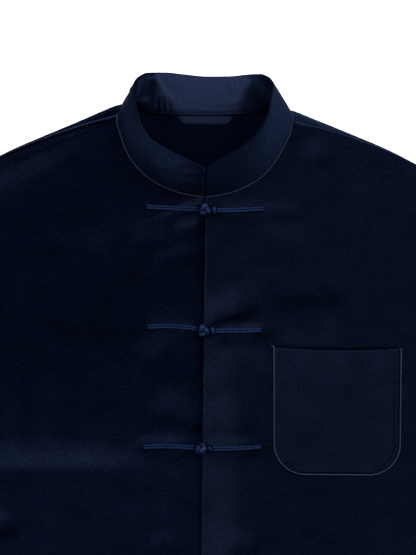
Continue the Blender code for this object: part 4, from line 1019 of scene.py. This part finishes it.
def addPocket(name):
    rise, edge = pocket["cornerRise"], np.array(pocket["sideShares"])
    near, last, columns = pocket["nearSide"]
    middle = np.linspace(*pocket["middleShares"])
    across = np.concatenate((-1 + edge, np.linspace(-last, -near, columns), middle,
                             np.linspace(near, last, columns), 1 - edge[::-1]))[None]
    corner = np.sin(np.linspace(0, math.pi / 2, pocket["cornerRows"])[1:])
    side = np.linspace(pocket["rowStart"], pocketStraight, pocket["rows"])
    down = np.concatenate((pocket["mouthRows"], side, pocketStraight + rise * corner))[:, None]
    bent = np.clip((down - pocketStraight) / rise, 0, 1)
    half = pocket["width"] / 2 - pocket["corner"] * (1 - np.sqrt(1 - bent ** 2))
    x = pocket["x"] + across * half + pocketLean(across, down)
    openness = (1 - down / pocket["depth"]) * (1 - across ** 2)
    y = pocket["top"] - down - pocket["mouthSag"] * (1 - across ** 2) * (1 - ease(down / pocketStraight))
    base = topHeight(x, y) + cloth["laidOn"] * pocket["lift"] + pocket["mouthGape"] * openness ** 2
    toEdge = half * (1 - np.abs(across))
    sunk = np.where(across > 0, pocket["stitchDepth"][1], pocket["stitchDepth"][0])
    base = base - sunk * swell(toEdge - pocket["stitchIn"], pocket["stitchWidth"])
    toSide = np.minimum(np.minimum(toEdge, down), pocket["depth"] - down)
    rounded = np.clip(1 - toSide / cloth["pocket"], 0, pocket["rimShare"])
    outer = np.stack((x, y, base + cloth["pocket"] * np.sqrt(1 - rounded ** 2)), -1)
    inner = np.stack((x, y, base), -1)
    # painted highlight patches on the pocket
    fields = {"edge": paintedPatchLight(pocketPaintedPatches, x, y)}
    weave = np.stack((x + pocket["weaveShift"], y), -1)
    piece = shellPiece(name, outer, inner, weave, "pocket", fields=fields)
    standsFor("pocket")
    return piece, sheetArea(outer)


def addPocketPiping(name):  # round the sides and the foot, with a hook at the mouth's inner end
    outside = cloth["laidOn"] / 2 + pocketCord["radius"]
    side = np.linspace(0, pocketStraight, pocketCord["sideSteps"], endpoint=False)
    turn = np.linspace(0, math.pi / 2, pocketCord["cornerSteps"])
    half, cornerX = pocket["width"] / 2, pocket["width"] / 2 - pocket["corner"]
    halfX = np.concatenate((np.full(len(side), half + outside),
                            cornerX + (pocket["corner"] + outside) * np.cos(turn)))
    halfDown = np.concatenate((side, pocketStraight + (pocket["cornerRise"] + outside) * np.sin(turn)))
    foot = np.linspace(-1, 1, pocketCord["footSteps"])[1:-1] * cornerX
    cordX = np.concatenate((-halfX, foot, halfX[::-1]))
    cordDown = np.concatenate((halfDown, np.full(len(foot), pocket["depth"] + outside), halfDown[::-1]))
    cordX = cordX + pocket["x"] + pocketLean(np.clip(cordX / half, -1, 1), cordDown)
    cordX = np.concatenate((cordX[0] - pocketCord["hook"] * np.array(pocketCord["hookX"]), cordX))
    cordDown = np.concatenate((-pocketCord["hook"] * np.array(pocketCord["hookUp"]), cordDown))
    cordY = pocket["top"] - cordDown
    level = topHeight(cordX, cordY) + pocketCord["radius"] * pocketCord["sunk"]
    return cordPiece(name, np.stack((cordX, cordY, level), -1), pocketCord["radius"], "pocket_piping")


pocketPiece, pocketArea = addPocket("cloth_pocket")
pocketEdge = addPocketPiping("pocket_cord")
print("stage: pocket")


# frogs: a ball knot on the right arm, a loop on the left arm

frogRow = namedtuple("frogRow", "x y rightReach rightMiddle rightTip leftReach leftSet leftLift leftTipPitch "
                                "ballSpin ballTilt")
frogRows = (frogRow(0.0003, -0.0968, 0.0578, 0.0012, 0.0023, 0.0582, -0.0006, 0.0024, 0.0022, 1.29, 0.25),
            frogRow(0.0002, -0.2174, 0.0555, 0.0036, 0.0029, 0.0570, -0.0003, 0.0012, 0.0022, 1.55, 0.12),
            frogRow(-0.0008, -0.3356, 0.0572, 0.0018, 0.0009, 0.0593, 0.0000, 0.0027, 0.0019, 0.60, 0.95),
            frogRow(-0.0004, -0.4550, 0.0576, 0.0016, 0.0016, 0.0579, 0.0000, 0.0018, 0.0020, 1.40, 0.30),
            frogRow(-0.0002, -0.5740, 0.0576, 0.0018, 0.0020, 0.0584, -0.0004, 0.0020, 0.0016, 1.70, 0.20))
frog = {"radius": 0.00110, "pitch": 0.0025, "armSteps": 40, "middleShare": 0.53, "drawn": 1.6,
        "touching": 0.88, "sunk": 0.92, "stemOut": (0.004, 0.0015, 0.0003), "stemRise": 0.0012,
        "stemSink": 0.003, "stemDark": 0.2, "knotHeight": 0.0111, "knotStart": 0.0085}
ball = {"radius": 0.0035, "strand": 0.0024, "sway": 0.0009, "stretch": (0.93, 1.08, 0.96), "steps": 260,
        "sides": 14, "latitude": 50.0, "leads": 2, "bights": 3, "sunk": (0.35, 0.9), "turned": (0.80, 0.55),
        "turnedDark": 0.8}
loop = {"radius": 0.0062, "lift": 0.0020, "start": 0.0125, "gap": 50.0, "steps": 40, "bindRadius": 0.0013,
        "bindOut": (0.0082, 0.0106), "bindWidth": 0.0025, "bindHeight": 0.0016, "bindTurns": 1.6,
        "bindSteps": 80}
stitch = {"gap": 0.0036, "radius": 0.00018, "sides": 6, "ends": (0.003, 0.004), "stray": 0.0006,
          "lean": (0.0003, 0.0008), "beside": 0.0004, "foot": 0.8, "top": (0.78, 0.68), "crown": (0.25, 1.0)}


def armPoints(row, side, offset, start):  # the left arm's two cords draw together towards the tip
    reach = row.leftReach if side > 0 else row.rightReach
    out = np.linspace(reach, start, frog["armSteps"])
    x, share = row.x + side * out, out / reach
    if side > 0:
        bow = row.leftSet + row.leftLift * share ** 2
        toTip = ((out - start) / (reach - start)) ** frog["drawn"]
        spread = offset * mix(frog["pitch"], row.leftTipPitch, toTip)
    else:
        middle = frog["middleShare"]
        rise = (row.rightMiddle - middle ** 2 * row.rightTip) / (middle - middle ** 2)
        bow = rise * share + (row.rightTip - rise) * share ** 2
        spread = offset * frog["pitch"]
    y = row.y + bow + spread
    radius = np.minimum(frog["radius"], np.abs(spread) * frog["touching"] + 0 * out)
    return np.stack((x, y, topHeight(x, y) + radius * frog["sunk"]), -1), radius


def prickStitches(points, seed):  # small stitches over the cord's upper edge
    rng = np.random.default_rng(seed)
    parts, radius = [], frog["radius"]
    run, (first, last) = lengthAlong(points), stitch["ends"]
    (topY, topZ), (crownY, crownZ) = radius * np.array(stitch["top"]), radius * np.array(stitch["crown"])
    for place in np.arange(first, run[-1] - last, stitch["gap"]):
        place = place + rng.uniform(-stitch["stray"], stitch["stray"])
        x, y, z = (np.interp(place, run, points[:, k]) for k in range(3))
        lean = rng.uniform(*stitch["lean"])
        foot = (x - lean, y + radius + stitch["beside"], z - radius * stitch["foot"])
        bent = (foot, (x, y + topY, z + topZ), (x + lean, y + crownY, z + crownZ))
        parts.append((*tubeParts(bent, stitch["radius"], stitch["sides"]), "thread"))
    return parts


def ballParts(centre, spin, tilt):  # one strand over and under itself, with painted shade where it sinks below the outer strands or turns downward
    t = np.linspace(0, 2 * math.pi * ball["leads"], ball["steps"])
    swing = ball["bights"] * t / ball["leads"]
    latitude = math.radians(ball["latitude"]) * np.sin(swing)
    radius = ball["radius"] + ball["sway"] * np.sin(2 * swing)
    flat = np.stack((np.cos(latitude) * np.cos(t), np.cos(latitude) * np.sin(t), np.sin(latitude)), -1)
    turn = np.array(((math.cos(spin), -math.sin(spin), 0), (math.sin(spin), math.cos(spin), 0), (0, 0, 1)))
    lean = np.array(((1, 0, 0), (0, math.cos(tilt), -math.sin(tilt)), (0, math.sin(tilt), math.cos(tilt))))
    points = flat * radius[:, None] @ (lean @ turn).T * np.array(ball["stretch"]) + centre
    verts, faces, weave, paintedshade = tubeParts(points, ball["strand"], ball["sides"], middle=centre)
    whole = ball["radius"] + ball["sway"] + ball["strand"]
    away = distance(verts, centre)
    start, over = ball["sunk"]
    sunk = ease((whole - away - start * ball["strand"]) / (over * ball["strand"]))
    start, over = ball["turned"]
    turned = ball["turnedDark"] * ease((start - (verts[:, 2] - centre[2]) / whole) / over)
    return verts, faces, weave, np.maximum(np.maximum(paintedshade, sunk), turned)


def addKnot(number, row, base):
    centre = np.array((row.x, row.y, base + frog["knotHeight"]))
    out, parts = frog["stemOut"], []
    for side in (-1, 1):
        arm = armPoints(row, -1, side / 2, frog["knotStart"])[0]
        y, z = arm[-1][1:]
        stem = np.array(((row.x - out[0], y, z), (row.x - out[1], y, z + frog["stemRise"]),
                         (row.x - out[2], y, centre[2] - frog["stemSink"])))
        parts.append((*tubeParts(np.concatenate((arm, stem)), frog["radius"], dark=frog["stemDark"]), "cord"))
        if side > 0:
            parts += prickStitches(arm, number * 10 + 1)
    parts.append((*ballParts(centre, row.ballSpin, row.ballTilt), "knot"))
    piece = joinedPiece(f"frog_{number}_knot_cord", parts, ["cord", "knot", "thread"])
    standsFor(f"frog_{number}_knot")


def addLoop(number, row, base):
    upper, radius = armPoints(row, 1, 0.5, loop["start"])
    lower = armPoints(row, 1, -0.5, loop["start"])[0]
    turn = np.linspace(math.radians(loop["gap"]), math.radians(360 - loop["gap"]), loop["steps"])
    level = base + frog["radius"]
    ring = np.stack((row.x + loop["radius"] * np.cos(turn), row.y + loop["radius"] * np.sin(turn),
                     level + loop["lift"] * ease((1 - np.cos(turn)) / 2)), -1)
    bent = np.concatenate((upper[-1:], ring, lower[-1:]))
    # the ring round the ball takes the dark cord copy with no gloss, as painted shade
    parts = [(*tubeParts(upper, radius), "cord"), (*tubeParts(lower, radius), "cord"),
             (*tubeParts(bent, frog["radius"]), "cordDeep")]
    parts += prickStitches(upper, number * 10 + 5)
    wind = np.linspace(0, 2 * math.pi * loop["bindTurns"], loop["bindSteps"])
    binding = np.stack((row.x + mix(*loop["bindOut"], wind / wind[-1]),
                        row.y + row.leftSet + loop["bindWidth"] * np.cos(wind),
                        level + loop["bindHeight"] * np.sin(wind)), -1)
    parts.append((*tubeParts(binding, loop["bindRadius"]), "cord"))
    piece = joinedPiece(f"frog_{number}_loop_cord", parts, ["cord", "cordDeep", "thread"])
    standsFor(f"frog_{number}_loop")


for number, row in enumerate(frogRows, 1):
    level = float(topHeight(np.array([row.x]), np.array([row.y]))[0])
    addKnot(number, row, level)
    addLoop(number, row, level)
print("stage: frogs")


# floor, light and camera

studio = {"floorSize": 8, "floorDrop": 0.0002, "floorColour": (0.92, 0.92, 0.92, 1.0), "floorRoughness": 0.8,
          "fillColour": (1.0, 1.0, 1.0, 1.0), "fill": 0.60}


def addFloor():
    bpy.ops.mesh.primitive_plane_add(size=studio["floorSize"])
    floor = bpy.context.object
    floor.name = "floor"
    floor.location.z = -studio["floorDrop"]
    material = bpy.data.materials.new("pale_floor")
    material.use_nodes = True
    shader = material.node_tree.nodes["Principled BSDF"]
    shader.inputs["Base Color"].default_value = studio["floorColour"]
    shader.inputs["Roughness"].default_value = studio["floorRoughness"]
    floor.data.materials.append(material)


def addLight(name, place, aim, size, power):
    data = bpy.data.lights.new(name, "AREA")
    data.shape = "DISK"
    data.size = size
    data.energy = power
    light = bpy.data.objects.new(name, data)
    light.location = place
    light.rotation_euler = (Vector(aim) - Vector(place)).to_track_quat("-Z", "Y").to_euler()
    bpy.context.scene.collection.objects.link(light)


studioLights = {"light_top": ((0.2, 2.3, 1.5), (0.0, 0.1, 0.0), 1.2, 46.0),
                "light_right": ((1.9, 1.1, 1.2), (0.1, 0.1, 0.0), 1.0, 70.0),
                "light_left": ((-1.9, 1.1, 1.2), (-0.1, 0.1, 0.0), 1.0, 48.0)}  # place, aim, size, power
photo = {"height": 555, "metresPerPixel": 0.001, "centreX": 0.0041, "backNeckPixel": 113.0,
         "rollDegrees": 0.65, "distance": 2.2, "clothLevel": 0.0075, "sensor": 24.0}


def addCamera():
    data = bpy.data.cameras.new("camera")
    camera = bpy.data.objects.new("camera", data)
    span = photo["height"] * photo["metresPerPixel"]
    data.sensor_fit = "VERTICAL"
    data.sensor_height = photo["sensor"]
    data.lens = photo["sensor"] * (photo["distance"] - photo["clothLevel"]) / span
    middleY = neckY + (photo["backNeckPixel"] - photo["height"] / 2) * photo["metresPerPixel"]
    camera.location = (photo["centreX"], middleY, photo["distance"])
    camera.rotation_euler = (0.0, 0.0, math.radians(photo["rollDegrees"]))
    bpy.context.scene.collection.objects.link(camera)
    bpy.context.scene.camera = camera


addFloor()
for name, values in studioLights.items():
    addLight(name, *values)
world = bpy.data.worlds.new("studio")
world.use_nodes = True
background = world.node_tree.nodes["Background"]
background.inputs["Color"].default_value = studio["fillColour"]
background.inputs["Strength"].default_value = studio["fill"]
bpy.context.scene.world = world
bpy.context.scene.view_settings.view_transform = "Standard"
addCamera()
print("stage: floor, light and camera")
